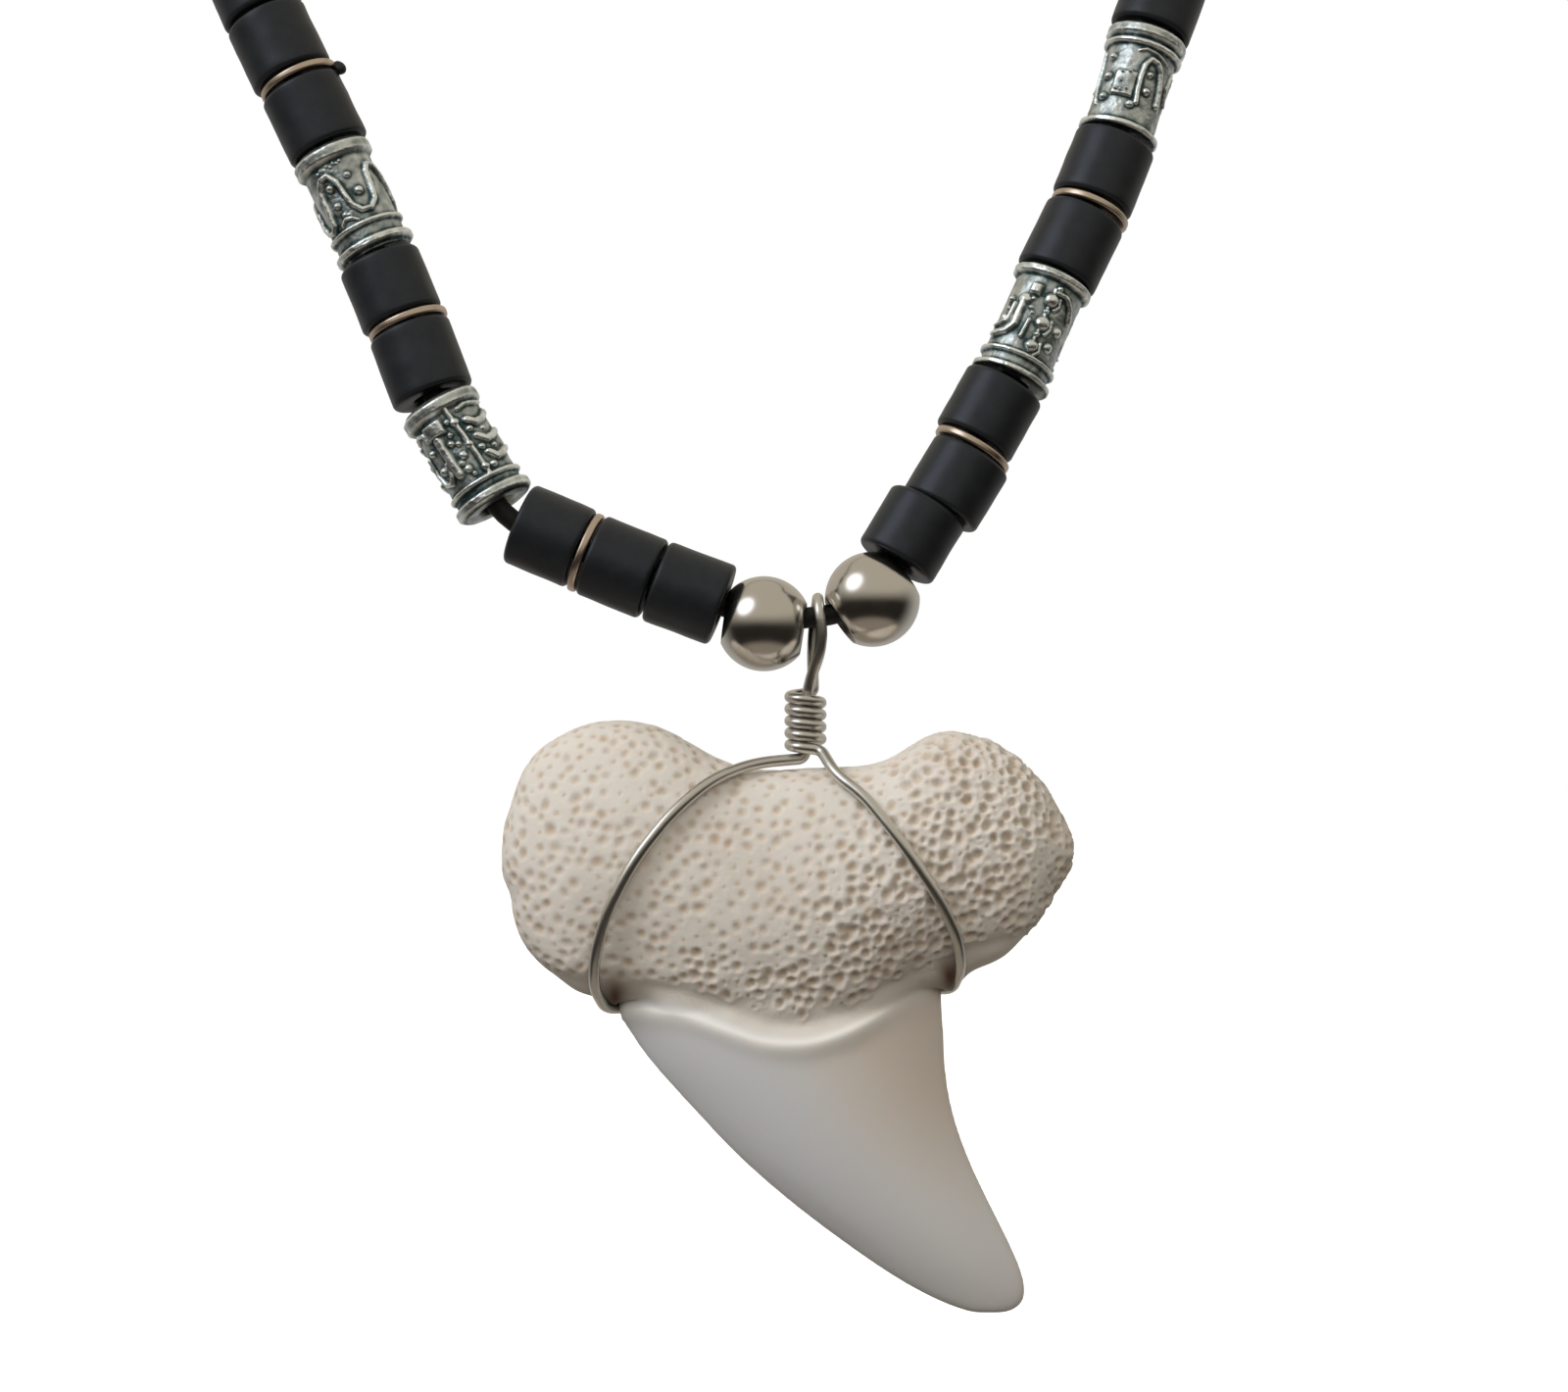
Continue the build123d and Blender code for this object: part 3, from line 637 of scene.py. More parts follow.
ORNAMENT = {
    "pewter_bead_left_1": {
        "bands": [(3.15, 0.9, 0.36), (-2.3, 0.3, 0.24), (-3.3, 0.7, 0.36)],
        "ribs": [
            ([(0.26, 3.0), (0.42, 1.75), (0.5, 0.9), (0.56, 0.1), (0.66, -0.7), (0.74, -2.2)],
             0.32, 0.24),
            ([(-1.14, 1.2), (-1.1, 0.2), (-0.98, -1.3)], 0.62, 0.3),
            ([(-2.3, 0.7), (-2.28, -0.4), (-2.1, -1.3), (-1.75, -1.5), (-1.5, -1.1),
              (-1.42, -0.3)], 0.3, 0.22),
            ([(1.2, 1.5), (1.6, 1.15), (2.05, 1.25), (2.36, 1.7)], 0.5, 0.26),
            ([(1.3, 0.3), (1.7, -0.1), (2.1, 0.0), (2.38, 0.4)], 0.5, 0.26),
            ([(1.4, -0.95), (1.75, -1.35), (2.1, -1.25), (2.38, -0.9)], 0.5, 0.26),
            ([(1.0, 2.35), (1.5, 2.5), (2.35, 2.4)], 0.3, 0.2),
            ([(-2.36, 1.9), (-2.2, 2.3), (-1.8, 2.1), (-1.75, 1.6)], 0.3, 0.18),
        ],
        "dots": [
            (0.44, 1.65, 0.55, 0.34), (0.56, 0.0, 0.5, 0.34), (0.74, -1.7, 0.5, 0.34),
            (-1.9, 0.8, 0.42, 0.26), (-1.8, -0.55, 0.55, 0.32), (-0.25, 1.1, 0.34, 0.22),
            (-0.15, -0.4, 0.5, 0.26), (-0.3, -1.3, 0.5, 0.3), (-0.1, -1.75, 0.3, 0.22),
            (-0.05, 0.35, 0.36, 0.22), (-0.5, 0.6, 0.4, 0.24), (-0.5, -0.8, 0.36, 0.22),
            (1.1, 0.9, 0.4, 0.24), (1.2, -0.45, 0.4, 0.24), (1.3, -1.75, 0.44, 0.26),
            (0.0, 1.9, 0.34, 0.22), (1.85, 0.65, 0.34, 0.2), (1.95, -0.6, 0.34, 0.2),
        ],
        "blocks": [(-1.0, 1.9, 1.25, 0.95, 0.34)],
    },
    "pewter_bead_left_2": {
        "bands": [(3.15, 0.95, 0.34), (-1.95, 0.3, 0.24), (-3.2, 0.55, 0.36)],
        "ribs": [
            ([(-2.38, 0.2), (-2.36, -0.7), (-2.2, -1.4), (-1.9, -1.55), (-1.68, -1.2), (-1.62, 0.0),
              (-1.6, 1.1), (-1.3, 1.75), (-0.75, 1.8), (-0.35, 1.2), (-0.2, 0.3), (0.0, -0.6),
              (0.45, -1.15), (1.05, -1.2), (1.5, -0.7), (1.62, 0.2), (1.7, 1.2), (1.9, 1.7),
              (2.15, 1.6), (2.34, 1.0), (2.4, 0.2)], 0.36, 0.26),
            ([(-1.2, -1.55), (-0.9, -1.25), (-0.4, -1.35), (-0.1, -1.6)], 0.24, 0.16),
        ],
        "dots": [
            (-0.92, 0.95, 0.5, 0.32), (-0.95, -0.25, 0.42, 0.28), (0.52, 1.3, 0.42, 0.28),
            (0.78, 0.1, 0.55, 0.34), (-0.75, -1.0, 0.4, 0.2), (-0.45, -1.1, 0.3, 0.18),
            (-1.3, 2.2, 0.18, 0.12), (-1.05, 2.3, 0.18, 0.14), (-0.8, 2.2, 0.18, 0.12),
            (-0.55, 2.35, 0.18, 0.14), (-0.3, 2.2, 0.18, 0.12), (-0.05, 2.35, 0.18, 0.14),
            (0.2, 2.25, 0.18, 0.12), (0.45, 2.35, 0.18, 0.12),
        ],
        "blocks": [],
    },
    "pewter_bead_right_1": {
        "bands": [(3.3, 0.6, 0.36), (-2.35, 0.28, 0.26), (-3.4, 0.42, 0.36)],
        "ribs": [
            ([(-1.28, 0.8), (-1.3, 0.1), (-1.27, -0.65), (-1.6, -1.2), (-2.2, -1.5)], 0.48, 0.3),
            ([(-1.75, 0.7), (-1.78, 0.1), (-1.85, -0.5), (-2.3, -0.85)], 0.3, 0.2),
            ([(0.6, 2.2), (1.2, 2.25), (1.75, 1.7), (1.95, 1.0)], 0.34, 0.22),
            ([(0.9, 1.9), (1.0, 1.4), (0.8, 1.1)], 0.22, 0.16),
            ([(0.95, 0.35), (1.05, -0.2), (0.85, -0.6)], 0.22, 0.16),
            ([(0.85, -1.25), (0.95, -1.8), (0.7, -2.1)], 0.22, 0.16),
            ([(0.36, 2.4), (0.35, 0.9), (0.38, -0.6), (0.3, -2.0)], 0.2, 0.14),
            ([(-0.5, -0.1), (-0.55, -0.7), (-0.6, -1.3)], 0.26, 0.18),
        ],
        "dots": [
            (-1.28, 1.1, 0.75, 0.34), (0.36, 1.6, 0.85, 0.38), (0.42, 0.0, 0.85, 0.38),
            (0.34, -1.6, 0.75, 0.38), (0.36, 0.8, 0.32, 0.28), (0.38, -0.8, 0.34, 0.3),
            (-2.05, 1.0, 0.42, 0.28), (-2.0, -0.3, 0.42, 0.28), (-2.03, 0.4, 0.24, 0.18),
            (1.6, 0.0, 0.6, 0.22), (1.45, -1.2, 0.6, 0.22), (-0.7, 0.7, 0.3, 0.14),
            (-0.5, 0.4, 0.24, 0.14), (-0.8, 1.3, 0.28, 0.14), (0.6, 2.5, 0.35, 0.3),
        ],
        "blocks": [(-0.85, 1.95, 0.62, 0.7, 0.34)],
    },
    "pewter_bead_right_2": {
        "bands": [(3.15, 0.8, 0.36), (2.3, 0.36, 0.32), (-3.35, 0.45, 0.36)],
        "ribs": [
            ([(0.4, -1.8), (0.28, -0.8), (0.25, 0.0), (0.3, 0.8), (0.62, 1.35), (1.1, 1.25),
              (1.45, 0.7), (1.66, -0.3), (1.78, -1.4)], 0.34, 0.28),
            ([(2.25, 1.2), (2.15, 0.2), (2.3, -0.9)], 0.3, 0.16),
            ([(-2.35, 1.5), (-2.3, 0.3), (-2.25, -1.0), (-2.1, -2.2)], 0.26, 0.16),
            ([(-0.3, 1.7), (0.1, 1.9), (0.9, 1.85), (1.7, 1.5)], 0.24, 0.12),
        ],
        "dots": [
            (0.82, 0.3, 0.42, 0.26), (0.88, -0.85, 0.5, 0.3), (-1.85, 1.05, 0.5, 0.32),
            (-1.82, -0.3, 0.5, 0.32), (-1.76, -1.75, 0.5, 0.32), (0.05, -2.0, 0.5, 0.28),
            (-0.95, 0.0, 0.24, 0.4), (-0.5, 0.1, 0.26, 0.4), (-1.1, -1.2, 0.24, 0.4),
            (-0.8, -1.25, 0.22, 0.38), (-0.45, -1.1, 0.24, 0.4), (-0.9, -0.6, 0.2, 0.36),
        ],
        "blocks": [(-0.72, -0.7, 1.35, 1.7, 0.2)],
    },
}

# %% [markdown]
# A stroke becomes height by its distance from each point of the surface. The height falls off
# smoothly at a rib's edges, as cast metal does, and a dot is a dome. Strokes that cross don't add
# up: the higher one wins, so the ornament stays within the rims.

# %% Height of the ornament
CORE = 2.2
RIM = 2.6
FAR_AWAY = 9.0
FLAT_TOP = 0.22
SOFT_EDGE = 0.42
DOME_REACH = 0.55
BLOCK_EDGE = 0.16
BAND_SPREAD = 1.15


def across_surface(across):
    """How far round the bead, in mm, a place lies that looks this far from its middle."""
    return CORE * math.asin(max(-1.0, min(1.0, across / (CORE + 0.2))))


def bump_of(distance, width):
    """A rounded step: one in the middle, nothing beyond half the width and a soft edge."""
    share = np.clip((distance - FLAT_TOP * width) / (SOFT_EDGE * width), 0, 1)
    return 1 - share * share * (3 - 2 * share)


def distance_to_line(line, round_way, reach):
    """How far each place of the surface lies from a line of points, in mm."""
    nearest = np.full_like(reach, FAR_AWAY)
    for (x0, z0), (x1, z1) in zip(line, line[1:]):
        run = (x1 - x0) ** 2 + (z1 - z0) ** 2
        share = ((round_way - x0) * (x1 - x0) + (reach - z0) * (z1 - z0)) / run
        share = np.clip(share, 0, 1)
        beside = round_way - x0 - share * (x1 - x0)
        beyond = reach - z0 - share * (z1 - z0)
        nearest = np.minimum(nearest, np.hypot(beside, beyond))
    return nearest


def ornament_height(ornament, turn, reach):
    """The ornament's height in mm at each turn angle and each place along the bead."""
    height = np.zeros_like(reach)
    for start in (0.0, math.pi):
        round_way = ((turn - start + math.pi) % (2 * math.pi) - math.pi) * CORE
        for points, width, high in ornament["ribs"]:
            line = [(across_surface(x), z) for x, z in points]
            gap = distance_to_line(line, round_way, reach)
            height = np.maximum(height, high * bump_of(gap, width))
        for x, z, width, high in ornament["dots"]:
            gap = np.hypot(round_way - across_surface(x), reach - z)
            dome = np.sqrt(np.clip(1 - (gap / (DOME_REACH * width)) ** 2, 0, 1))
            height = np.maximum(height, high * dome)
        for x, z, wide, tall, high in ornament["blocks"]:
            gap = np.maximum(np.abs(round_way - across_surface(x)) - wide / 2,
                             np.abs(reach - z) - tall / 2)
            height = np.maximum(height, high * (1 - np.clip(gap / BLOCK_EDGE + 0.5, 0, 1)))
    for z, width, high in ornament["bands"]:
        height = np.maximum(height, high * bump_of(np.abs(reach - z), BAND_SPREAD * width))
    return np.minimum(height, RIM - CORE)


print("ornament for", len(ORNAMENT), "beads, up to", round(RIM - CORE, 2), "mm high")

# %% [markdown]
# Casting leaves a slight unevenness under the ornament. The patina comes from comparing the height
# with its blurred copy: a place lower than its surroundings keeps the blackening, and one that
# stands out is rubbed bright. The hole and the ends keep an even dark tone.

# %% Cast beads
ANTIQUE_SPREAD = 14
ANTIQUE_FLAT = 0.5
ANTIQUE_DEPTH = 9.0
HOLE_PATINA = 0.6
CAST_WAVES = (1.7, 0.035)
CAST_RIPPLES = (4.5, 0.02)
CAST_SHRINK = 0.02
CAST_ROWS = 120
CAST_COLUMNS = 230


def cast_unevenness(turn, reach, outside):
    """Slow waves and small ripples of the cast surface, in mm."""
    uneven = np.zeros_like(reach)
    for i, j in np.ndindex(reach.shape):
        if outside[i, j]:
            angle = turn[i, j]
            spot = Vector((CORE * math.cos(angle), CORE * math.sin(angle), reach[i, j]))
            for repeat, high in (CAST_WAVES, CAST_RIPPLES):
                uneven[i, j] += high * noise.noise(repeat * spot)
    return uneven


def cast_relief(ornament):
    """The height of a cast bead's surface and how dark its recesses are."""
    def relief(turn, reach, radii):
        outside = radii > CORE - 0.01
        height = ornament_height(ornament, turn, reach)
        around = height
        for _ in range(ANTIQUE_SPREAD):
            around = (around + np.roll(around, 1, 0) + np.roll(around, -1, 0)
                      + np.roll(around, 1, 1) + np.roll(around, -1, 1)) / 5
        patina = np.clip(ANTIQUE_FLAT + ANTIQUE_DEPTH * (around - height), 0, 1)
        rise = height + cast_unevenness(turn, reach, outside) - CAST_SHRINK
        rise = np.where(outside, np.minimum(rise, RIM - CORE), 0)
        return rise, np.where(outside, patina, HOLE_PATINA)
    return relief


def cast_profile(length):
    """Fine rows over the outside of a cast bead, its two ends and its hole."""
    half = length / 2
    end = [(BEAD_HOLE, half - 0.1), (BEAD_HOLE + 0.1, half), (CORE - 0.15, half)]
    wall = [(CORE, (half - 0.01) * (1 - 2 * i / CAST_ROWS)) for i in range(CAST_ROWS + 1)]
    return end + wall + [(r, -z) for r, z in reversed(end)]


for name, ornament in ORNAMENT.items():
    middle, axis, length, radius = bead_measures(name)
    bead = turned_bead(
        "cast_" + name, name, "strand", antiqued_pewter,
        cast_profile(length / MM), CAST_COLUMNS, cast_relief(ornament),
    )
    print(bead.name, len(bead.data.polygons), "faces, length", round(length / MM, 2))

# %% [markdown]
# The tooth starts as the CAD solid. A voxel remesh turns its large faces to an even skin of points
# 0.16 mm apart, and a smooth modifier takes the edges of the solid's facets away. The even skin can
# then be pushed in and out, point by point, as a sculptor would.

# %% A fine even skin for the tooth
FINE_VOXEL = 0.163
SKIN_SMOOTHING = 14

tooth_node = nodes["shark_tooth"]
rough_tooth = bpy.data.objects.new("rough_tooth", tooth_node.data.copy())
bpy.context.scene.collection.objects.link(rough_tooth)
even = rough_tooth.modifiers.new("even_skin", "REMESH")
even.mode = "VOXEL"
even.voxel_size = FINE_VOXEL * MM
soft = rough_tooth.modifiers.new("soft_skin", "SMOOTH")
soft.factor = 0.5
soft.iterations = SKIN_SMOOTHING
seen = rough_tooth.evaluated_get(bpy.context.evaluated_depsgraph_get())
skin = bpy.data.meshes.new_from_object(seen)
bpy.data.objects.remove(rough_tooth)
places = np.empty(3 * len(skin.vertices))
skin.vertices.foreach_get("co", places)
places = places.reshape(-1, 3) / MM
outward = np.empty(3 * len(skin.vertices))
skin.vertex_normals.foreach_get("vector", outward)
outward = outward.reshape(-1, 3)
print("tooth skin", len(places), "points", len(skin.polygons), "faces")

# %% [markdown]
# Everything below works on the points of that skin, with two helpers. One gives a smooth rise from
# zero to one, for soft borders. The other gives a smooth random unevenness, for lumps in the bone.
# The shift picks another stretch of the same noise, so that two kinds of lumps don't match.

# %% Soft borders and lumps
def eased(value, low, high):
    """Zero below low, one above high, and a smooth rise between."""
    share = np.clip((value - low) / (high - low), 0, 1)
    return share * share * (3 - 2 * share)


def lumps(size, shift):
    """A smooth unevenness between -1 and 1 over the tooth, with lumps of this size in mm."""
    own_stretch = Vector((shift, 0, 0))
    return np.array([noise.noise(Vector(spot) / size + own_stretch) for spot in places])


across, deep, up = places.T
slow_lumps = lumps(size=4.2, shift=3.0)
small_lumps = lumps(size=1.1, shift=11.0)
ragged = lumps(size=0.6, shift=23.0)
print("lumps over", len(places), "points")

# %% [markdown]
# The root ends in a raised lip, which swings down in the middle and fades to the right. Everything
# above it is bone. The first list follows the lip from the left, in millimetres across and up. The
# lip shows only on the front, so the tooth is also split into a front and a back half.

# %% Where root, lip and enamel lie
LIP = [(-9.0, -152.9), (-6.0, -153.4), (-4.4, -153.5), (-2.4, -153.4), (0.1, -154.0), (2.0, -155.0),
       (5.0, -155.6), (7.5, -155.2), (10.0, -154.0), (11.5, -153.2), (14.2, -151.9), (18.0, -150.4)]
LIP_EASE = 0.9
LIP_SHARP = 0.38
LIP_SOFT = 0.85
LIP_FADES = (8.5, 13.0)
LIP_LEFT_OVER = 0.25
ROOT_BORDER = (0.2, 0.9)
TOOTH_MIDDLE_DEPTH = -108.6
FRONT_BORDER = 3.0

lip_x, lip_z = np.array(LIP).T
steps = np.linspace(-2, 2, 9) * LIP_EASE
lip_up = sum(np.interp(across + step, lip_x, lip_z) for step in steps) / len(steps)
above_lip = up - lip_up
front_share = np.clip((TOOTH_MIDDLE_DEPTH - deep) / FRONT_BORDER + 0.5, 0, 1)
root_share = eased(above_lip, *ROOT_BORDER)
lip_strength = LIP_LEFT_OVER + (1 - LIP_LEFT_OVER) * (1 - eased(across, *LIP_FADES))
lip_slope = np.where(above_lip > 0, LIP_SHARP, LIP_SOFT)
lip_share = np.exp(-(above_lip / lip_slope) ** 2) * lip_strength
print("root share", round(float(root_share.mean()), 2))

# %% [markdown]
# The bone isn't the same all over. On the left it is smooth between its pores. To the right, and
# low in the middle just above the lip, it is worn and rugged. One number for each point says how
# rugged the bone is there. Its border leans to the right as it rises.

# %% Where the bone is rugged
RUGGED_BORDER = (2.0, 9.0)
RUGGED_SLANT = 0.6
RUGGED_LEVEL = -150
LOW_BAND_TOP = (2.5, 6.0)
LOW_BAND_LEFT = (-4.0, 1.0)
LOW_BAND_STRENGTH = 0.7

low_band = (1 - eased(above_lip, *LOW_BAND_TOP)) * eased(across, *LOW_BAND_LEFT)
right_side = eased(across - RUGGED_SLANT * (up - RUGGED_LEVEL), *RUGGED_BORDER)
rugged = np.clip(right_side + LOW_BAND_STRENGTH * low_band, 0, 1)
print("rugged share", round(float(rugged.mean()), 2))

# %% [markdown]
# Pores cover the root, 0.7 mm apart or more, and closer where the bone is rugged. Seeded darts
# choose their places: a dart that lands too near an earlier one is dropped. To find its neighbours
# fast, each pore is kept under the cubic millimetre in which it lies.

# %% Throw the pores
PORE_SEED = 11
PORE_SPACING = 0.69
RUGGED_SPACING = 0.57
DARTS = 28000
PORES_ABOVE_LIP = 1.9
LIMIT_WAVERS = 0.5

dice = np.random.default_rng(PORE_SEED)
allowed = np.flatnonzero(above_lip + LIMIT_WAVERS * small_lumps > PORES_ABOVE_LIP)
darts = dice.choice(allowed, size=min(DARTS, len(allowed)), replace=False)
taken = {}
pores = []
for dart in darts:
    spot = places[dart]
    gap = PORE_SPACING + (RUGGED_SPACING - PORE_SPACING) * rugged[dart]
    cell = tuple(np.floor(spot).astype(int))
    near = False
    for i, j, k in np.ndindex(3, 3, 3):
        for other in taken.get((cell[0] + i - 1, cell[1] + j - 1, cell[2] + k - 1), ()):
            if np.sum((spot - other) ** 2) < gap * gap:
                near = True
    if not near:
        taken.setdefault(cell, []).append(spot)
        pores.append(dart)
print("pores", len(pores))

# %% [markdown]
# Each pore is a little bowl, longer one way than the other, and deeper, more ragged and with a low
# rim round it where the bone is rugged. Its half widths are a few sizes read off the real bone, and
# its depth is a share of them. The bowl's depth also goes to the pore attribute, which turns it
# browner. Where two bowls meet, the deeper one wins.

# %% Press the pores in
HALF_WIDTHS = (0.17, 0.27, 0.33, 0.37)
WIDTH_VARIES = (0.85, 1.15)
LENGTH_TO_WIDTH = (1.0, 1.4)
DEPTH_TO_WIDTH = (0.26, 0.44)
RUGGED_DEEPER = 1.3
TONES = (0.5, 1.0)
LEAN_TILT = 0.3
PORE_REACH = 2.0
BOWL_BORDER = (0.15, 1.15)
RAGGED_EDGE = (0.2, 0.25)
RIM_HEIGHT = 0.09
RIM_PLACE = 1.25
RIM_SPREAD = 0.28

near_points = kdtree.KDTree(len(places))
for i, spot in enumerate(places):
    near_points.insert(spot, i)
near_points.balance()
push = np.zeros(len(places))
rim_push = np.zeros(len(places))
pore_share = np.zeros(len(places))
for centre in pores:
    strength = rugged[centre]
    wide = dice.choice(HALF_WIDTHS) * dice.uniform(*WIDTH_VARIES)
    long = wide * dice.uniform(*LENGTH_TO_WIDTH)
    bowl_depth = wide * dice.uniform(*DEPTH_TO_WIDTH) * (1 + RUGGED_DEEPER * strength)
    tone = dice.uniform(*TONES)
    lean = dice.uniform(0, math.pi)
    first_way = np.cross(outward[centre], (math.cos(lean), LEAN_TILT, math.sin(lean)))
    first_way = first_way / np.linalg.norm(first_way)
    second_way = np.cross(outward[centre], first_way)
    found = near_points.find_range(places[centre], PORE_REACH * long)
    index = np.array([item[1] for item in found])
    offset = places[index] - places[centre]
    spread = np.hypot(offset @ first_way / long, offset @ second_way / wide)
    spread = spread * (1 + (RAGGED_EDGE[0] + RAGGED_EDGE[1] * strength) * ragged[index])
    bowl = 1 - eased(spread, *BOWL_BORDER)
    push[index] = np.maximum(push[index], bowl_depth * bowl)
    rim_here = RIM_HEIGHT * strength * np.exp(-((spread - RIM_PLACE) / RIM_SPREAD) ** 2)
    rim_push[index] = np.maximum(rim_push[index], rim_here)
    pore_share[index] = np.maximum(pore_share[index], tone * bowl)
print("deepest pore", round(float(push.max()), 2), "mm")

# %% [markdown]
# Next come the slow forms, all in millimetres: gentle lumps in the bone, a shallow trough above the
# lip, the lip itself, and a small corner on the right edge and a notch on the left that break the
# outline.

# %% Lumps, trough, lip and outline
SLOW_LUMP_HEIGHT = 0.1
SMALL_LUMP_HEIGHT = 0.03
RUGGED_LUMP_HEIGHT = 0.06
TROUGH_DEPTH = 0.3
TROUGH_PLACE = 1.2
TROUGH_SPREAD = 0.7
LIP_HEIGHT = 0.34
OUTLINE_BREAKS = [
    {"at": (22.1, -143.8), "height": 0.12, "spread": 0.9},
    {"at": (-12.1, -146.4), "height": -0.2, "spread": 1.0},
]


def near_place(place, spread, squeeze=1.0):
    """One at a place given as across and up, falling off smoothly to zero round it."""
    gap = np.hypot(across - place[0], squeeze * (up - place[1]))
    return np.exp(-(gap / spread) ** 2)


small_height = SMALL_LUMP_HEIGHT + RUGGED_LUMP_HEIGHT * rugged
trough = np.exp(-((above_lip - TROUGH_PLACE) / TROUGH_SPREAD) ** 2)
lift = rim_push - push
lift = lift + root_share * (SLOW_LUMP_HEIGHT * slow_lumps + small_height * small_lumps)
lift = lift + (LIP_HEIGHT * lip_share - TROUGH_DEPTH * trough) * front_share
for mark in OUTLINE_BREAKS:
    lift = lift + mark["height"] * near_place(mark["at"], mark["spread"])
print("lift from", round(float(lift.min()), 2), "to", round(float(lift.max()), 2), "mm")

# %% [markdown]
# The wire turns to the back under the root at two places. The bone there swells against the wire, on
# faces that look down, and a painted shade turns it dark brown where the wire tucks under. A fainter
# painted shade lies low on the right of the root, under its right lobe. The crown is cooler on the
# left and warmer on the right, less so at its tip.

# %% Wire turns, painted shade and warmth
WIRE_TURNS = [(-5.6, -152.2), (14.7, -150.9)]
TURN_SWELL = 1.0
SWELL_SPREAD = 1.15
SWELL_BELOW_SHADE = 0.7
LOOKS_DOWN = 1.5
SHADE_SPREAD = 0.95
LOW_SHADE_PLACE = (12.5, -150.0)
LOW_SHADE_STRENGTH = 0.2
LOW_SHADE_SPREAD = 4.5
LOW_SHADE_SQUEEZE = 1.4
WARM_BORDER = (3.0, 12.0)
WARM_SLANT = 0.55
WARM_LEVEL = -158
TIP_BORDER = (-167.0, -158.0)
TIP_WARMTH = 0.3

# Painted shade: a faint darkening low on the right of the root, under its right lobe.
painted_shade_share = LOW_SHADE_STRENGTH * root_share * near_place(LOW_SHADE_PLACE, LOW_SHADE_SPREAD, LOW_SHADE_SQUEEZE)
# Painted shade round each wire turn, where the wire tucks under the root.
for x, z in WIRE_TURNS:
    painted_shade_share = np.maximum(painted_shade_share, near_place((x, z), SHADE_SPREAD))
    swell = near_place((x, z - SWELL_BELOW_SHADE), SWELL_SPREAD)
    swell = swell * np.clip(-LOOKS_DOWN * outward[:, 2], 0, 1)
    lift = lift * (1 - swell) + TURN_SWELL * swell
warm_share = eased(across + WARM_SLANT * (up - WARM_LEVEL), *WARM_BORDER)
warm_share = warm_share * (TIP_WARMTH + (1 - TIP_WARMTH) * eased(up, *TIP_BORDER))
print("most stained", round(float(painted_shade_share.max()), 2))

# %% [markdown]
# The lift moves each point along its own outward direction. The shares become point attributes,
# which the finish reads by name, and the finished skin takes the place of the CAD tooth.

# %% The finished tooth
shaped = (places + outward * lift[:, None]) * MM
skin.vertices.foreach_set("co", shaped.ravel())
SHARES = {
    "root": root_share,
    "pore": pore_share,
    # painted highlight along the lip ridge
    "lip_highlight": lip_share * front_share,
    # painted shade at the wire turns and low on the right of the root
    "stain": painted_shade_share,
    "warmth": warm_share,
}
for name, values in SHARES.items():
    layer = skin.attributes.new(name, "FLOAT", "POINT")
    layer.data.foreach_set("value", values)
skin.polygons.foreach_set("use_smooth", np.ones(len(skin.polygons), dtype=bool))
skin.materials.clear()
skin.materials.append(tooth_bone)
skin.update()
tooth = bpy.data.objects.new("porous_tooth", skin)
bpy.context.scene.collection.objects.link(tooth)
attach(tooth, "pendant")
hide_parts("shark_tooth")
print(tooth.name, len(skin.polygons), "faces")

# %% [markdown]
# The wire, the cord, the clasp and the part of the string that lies out of sight behind the neck
# keep their CAD shapes. They only get finishes.

# %% Finishes for the CAD nodes that stay
KEPT = {
    "bail_wire": satin_wire,
    "stringing_cord": waxed_cotton,
    "clasp_barrel": rhodium_plate,
    "back_coco_beads": coconut_shell,
    "back_spacers": champagne_plate,
}
for name, finish in KEPT.items():
    for material_slot in nodes[name].material_slots:
        material_slot.material = finish
print("kept nodes", ", ".join(KEPT))

# %% [markdown]
# The studio is plain: a pale floor below the tooth, a surround and three softboxes. The floor glows
# a little, so that it stays as pale as the ground of the photograph, and it is hidden from
# reflections, which would otherwise turn the lower half of each ball white.

# %% Pale floor
FLOOR_UP = -0.2
FLOOR_REACH = 3.0
FLOOR_GLOW = 0.7

floor_mesh = bpy.data.meshes.new("pale_floor")
floor_mesh.from_pydata(
    [(-FLOOR_REACH, -FLOOR_REACH, FLOOR_UP), (FLOOR_REACH, -FLOOR_REACH, FLOOR_UP),
     (FLOOR_REACH, FLOOR_REACH, FLOOR_UP), (-FLOOR_REACH, FLOOR_REACH, FLOOR_UP)],
    [], [(0, 1, 2, 3)],
)
floor_paint, tree, shader = new_finish(
    "pale_floor_paint", Base_Color=colour("F4F3F1"), Roughness=0.9,
    Emission_Color=colour("FFFFFF"), Emission_Strength=FLOOR_GLOW,
)
floor_mesh.materials.append(floor_paint)
floor = bpy.data.objects.new("pale_floor", floor_mesh)
bpy.context.scene.collection.objects.link(floor)
floor.visible_diffuse = False
floor.visible_glossy = False
print("floor at", FLOOR_UP, "m")

# %% [markdown]
# The surround is what the mirror balls show: dim in front, as a room is behind a camera, and pale
# behind, below and overhead. The dim part keeps the black beads black. Each row gives the axis of
# the view along which a light comes in, where it starts and is whole, and its colour, and each is
# laid over the ones before.

# %% Surround
DIM_ROOM = "2B2724"
SURROUND_LIGHTS = [
    ("Y", -0.2, 0.8, "B9B6B1"),
    ("Z", -0.62, -0.82, "958B7F"),
    ("Z", -0.16, 0.42, "C8C1B3"),
]

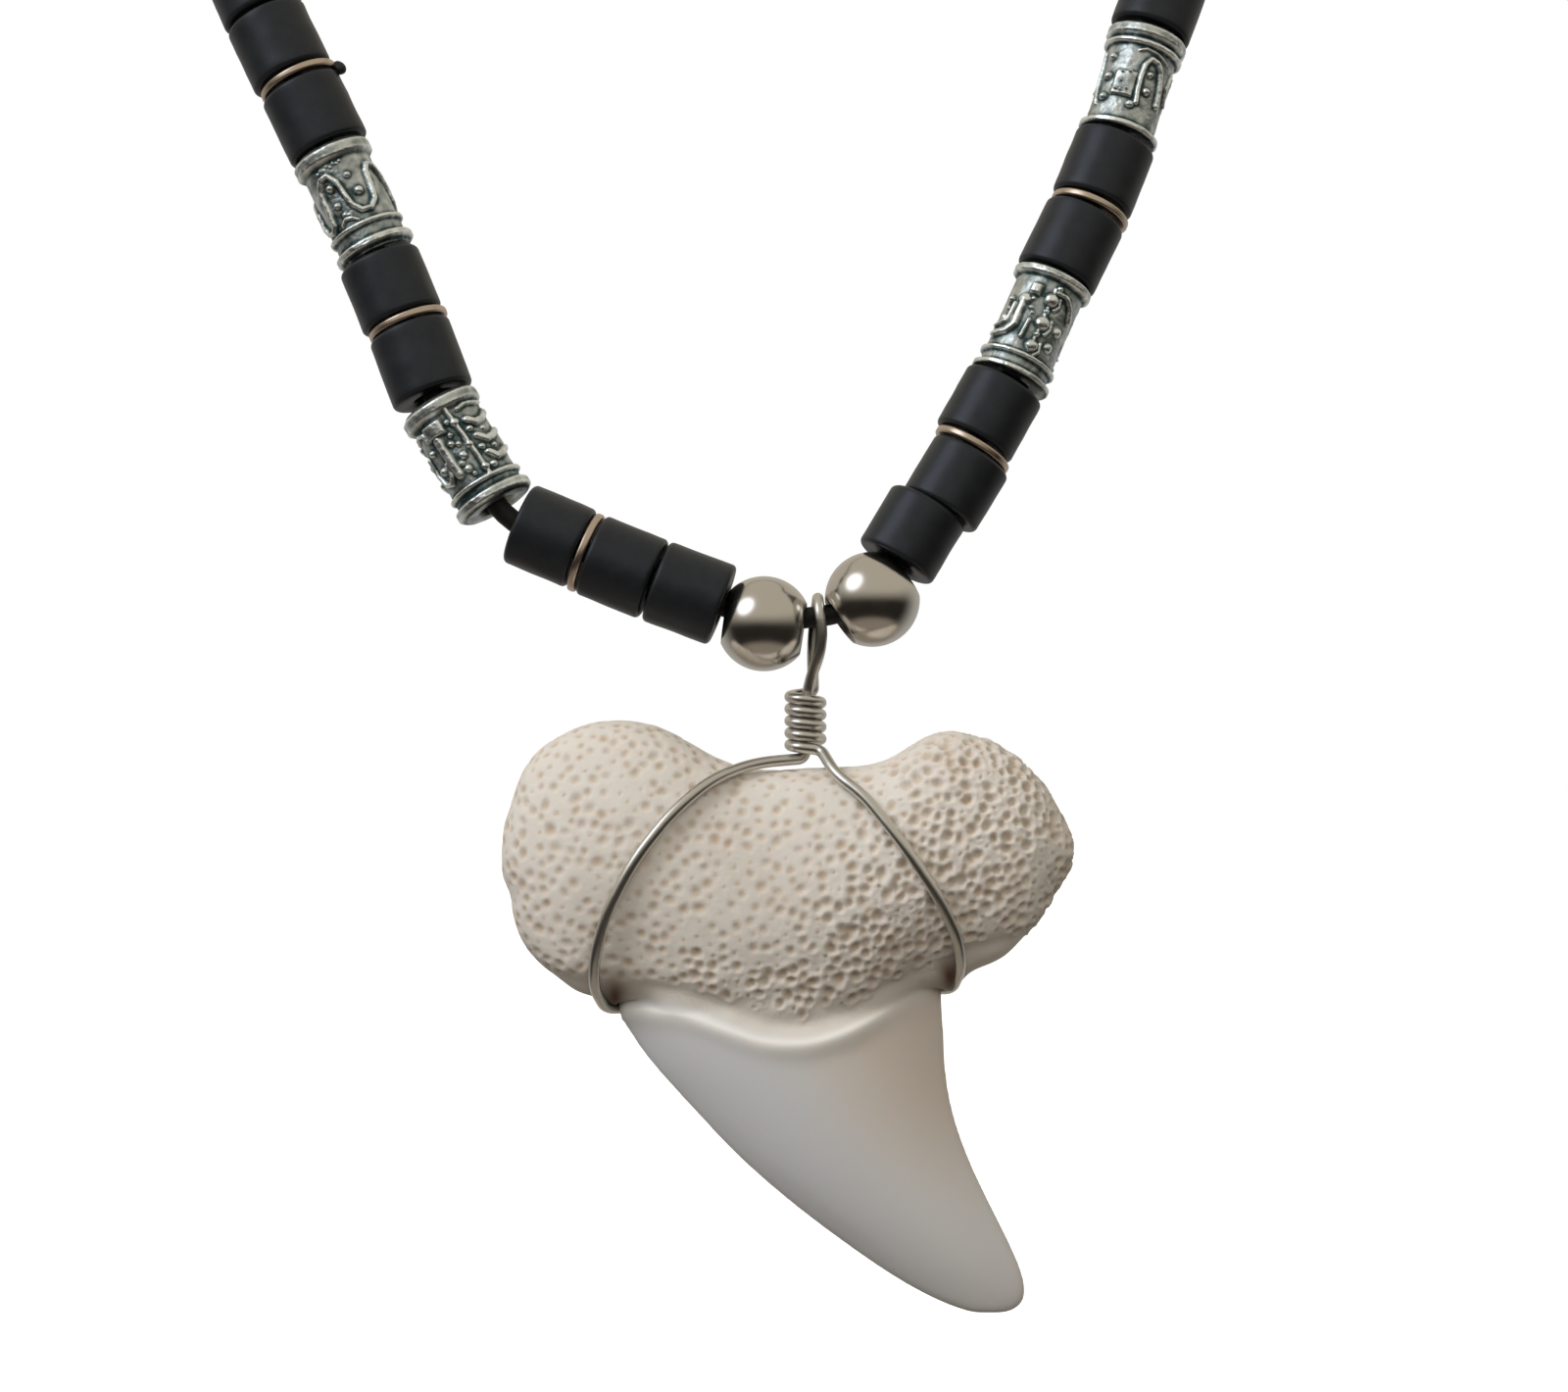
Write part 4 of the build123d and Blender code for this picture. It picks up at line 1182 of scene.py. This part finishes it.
world = bpy.data.worlds.new("studio_surround")
bpy.context.scene.world = world
world.use_nodes = True
tree = world.node_tree
background = tree.nodes["Background"]
way = add_node(tree, "ShaderNodeTexCoord")
parts = add_node(tree, "ShaderNodeSeparateXYZ", None, {0: way.outputs["Generated"]})
light = colour(DIM_ROOM)
for axis, start, whole, tint in SURROUND_LIGHTS:
    share = add_node(
        tree, "ShaderNodeMapRange", {"interpolation_type": "SMOOTHSTEP"},
        {"Value": parts.outputs[axis], "From Min": start, "From Max": whole},
    )
    mixed = add_node(
        tree, "ShaderNodeMix", {"data_type": "RGBA"},
        {MIX_FACTOR: share.outputs["Result"], MIX_A: light, MIX_B: colour(tint)},
    )
    light = mixed.outputs[MIX_RESULT]
print("surround of", len(SURROUND_LIGHTS), "lights over a dim room")

# %% [markdown]
# One window high on the left is brighter than anything else. It gives each ball its highlight. The
# camera itself sees plain white behind the necklace, as in the photograph.

# %% Window and backdrop
WINDOW_WAY = (-0.66, -0.43, 0.62)
WINDOW_EDGE = (0.91, 0.99)
WINDOW_LIGHT = (2.4, 2.5, 2.7, 1.0)

to_window = add_node(
    tree, "ShaderNodeVectorMath", {"operation": "DOT_PRODUCT"},
    {0: way.outputs["Generated"], 1: WINDOW_WAY},
)
window_share = add_node(
    tree, "ShaderNodeMapRange", {"interpolation_type": "SMOOTHSTEP"},
    {"Value": to_window.outputs["Value"],
     "From Min": WINDOW_EDGE[0], "From Max": WINDOW_EDGE[1]},
)
window_light = add_node(
    tree, "ShaderNodeMix", {"data_type": "RGBA"},
    {MIX_FACTOR: window_share.outputs["Result"], MIX_A: light, MIX_B: WINDOW_LIGHT},
)
seen_by = add_node(tree, "ShaderNodeLightPath")
surround = add_node(
    tree, "ShaderNodeMix", {"data_type": "RGBA"},
    {MIX_FACTOR: seen_by.outputs["Is Camera Ray"], MIX_A: window_light.outputs[MIX_RESULT],
     MIX_B: colour("FFFFFF")},
)
tree.links.new(surround.outputs[MIX_RESULT], background.inputs["Color"])
bpy.context.scene.view_settings.view_transform = "Standard"
print("window towards", WINDOW_WAY)

# %% [markdown]
# Three softboxes light the object: a small strong one beside the window, a wide weak one low on the
# left that lifts the shadows, and a broad one in front. Places are in metres from the middle of the
# pendant. They only light, and leave no reflection of their own.

# %% Softboxes
PENDANT = Vector((0.005, -0.1086, -0.140))
SOFTBOXES = {
    "window_softbox": {"place": (-0.41, -0.27, 0.39), "size": 0.2, "watts": 1.7, "tint": "FBFCFF"},
    "low_softbox": {"place": (-0.42, -0.3, -0.3), "size": 0.4, "watts": 0.35, "tint": "FFFDFA"},
    "front_softbox": {"place": (0.08, -0.62, 0.26), "size": 0.5, "watts": 1.6, "tint": "FFFBF6"},
}
for name, box in SOFTBOXES.items():
    lamp = bpy.data.lights.new(name, "AREA")
    lamp.shape = "SQUARE"
    lamp.size = box["size"]
    lamp.energy = box["watts"]
    lamp.color = colour(box["tint"])[:3]
    holder = bpy.data.objects.new(name, lamp)
    holder.location = PENDANT + Vector(box["place"])
    holder.rotation_euler = (PENDANT - holder.location).to_track_quat("-Z", "Y").to_euler()
    holder.visible_glossy = False
    bpy.context.scene.collection.objects.link(holder)
    print(name, box["watts"], "W")
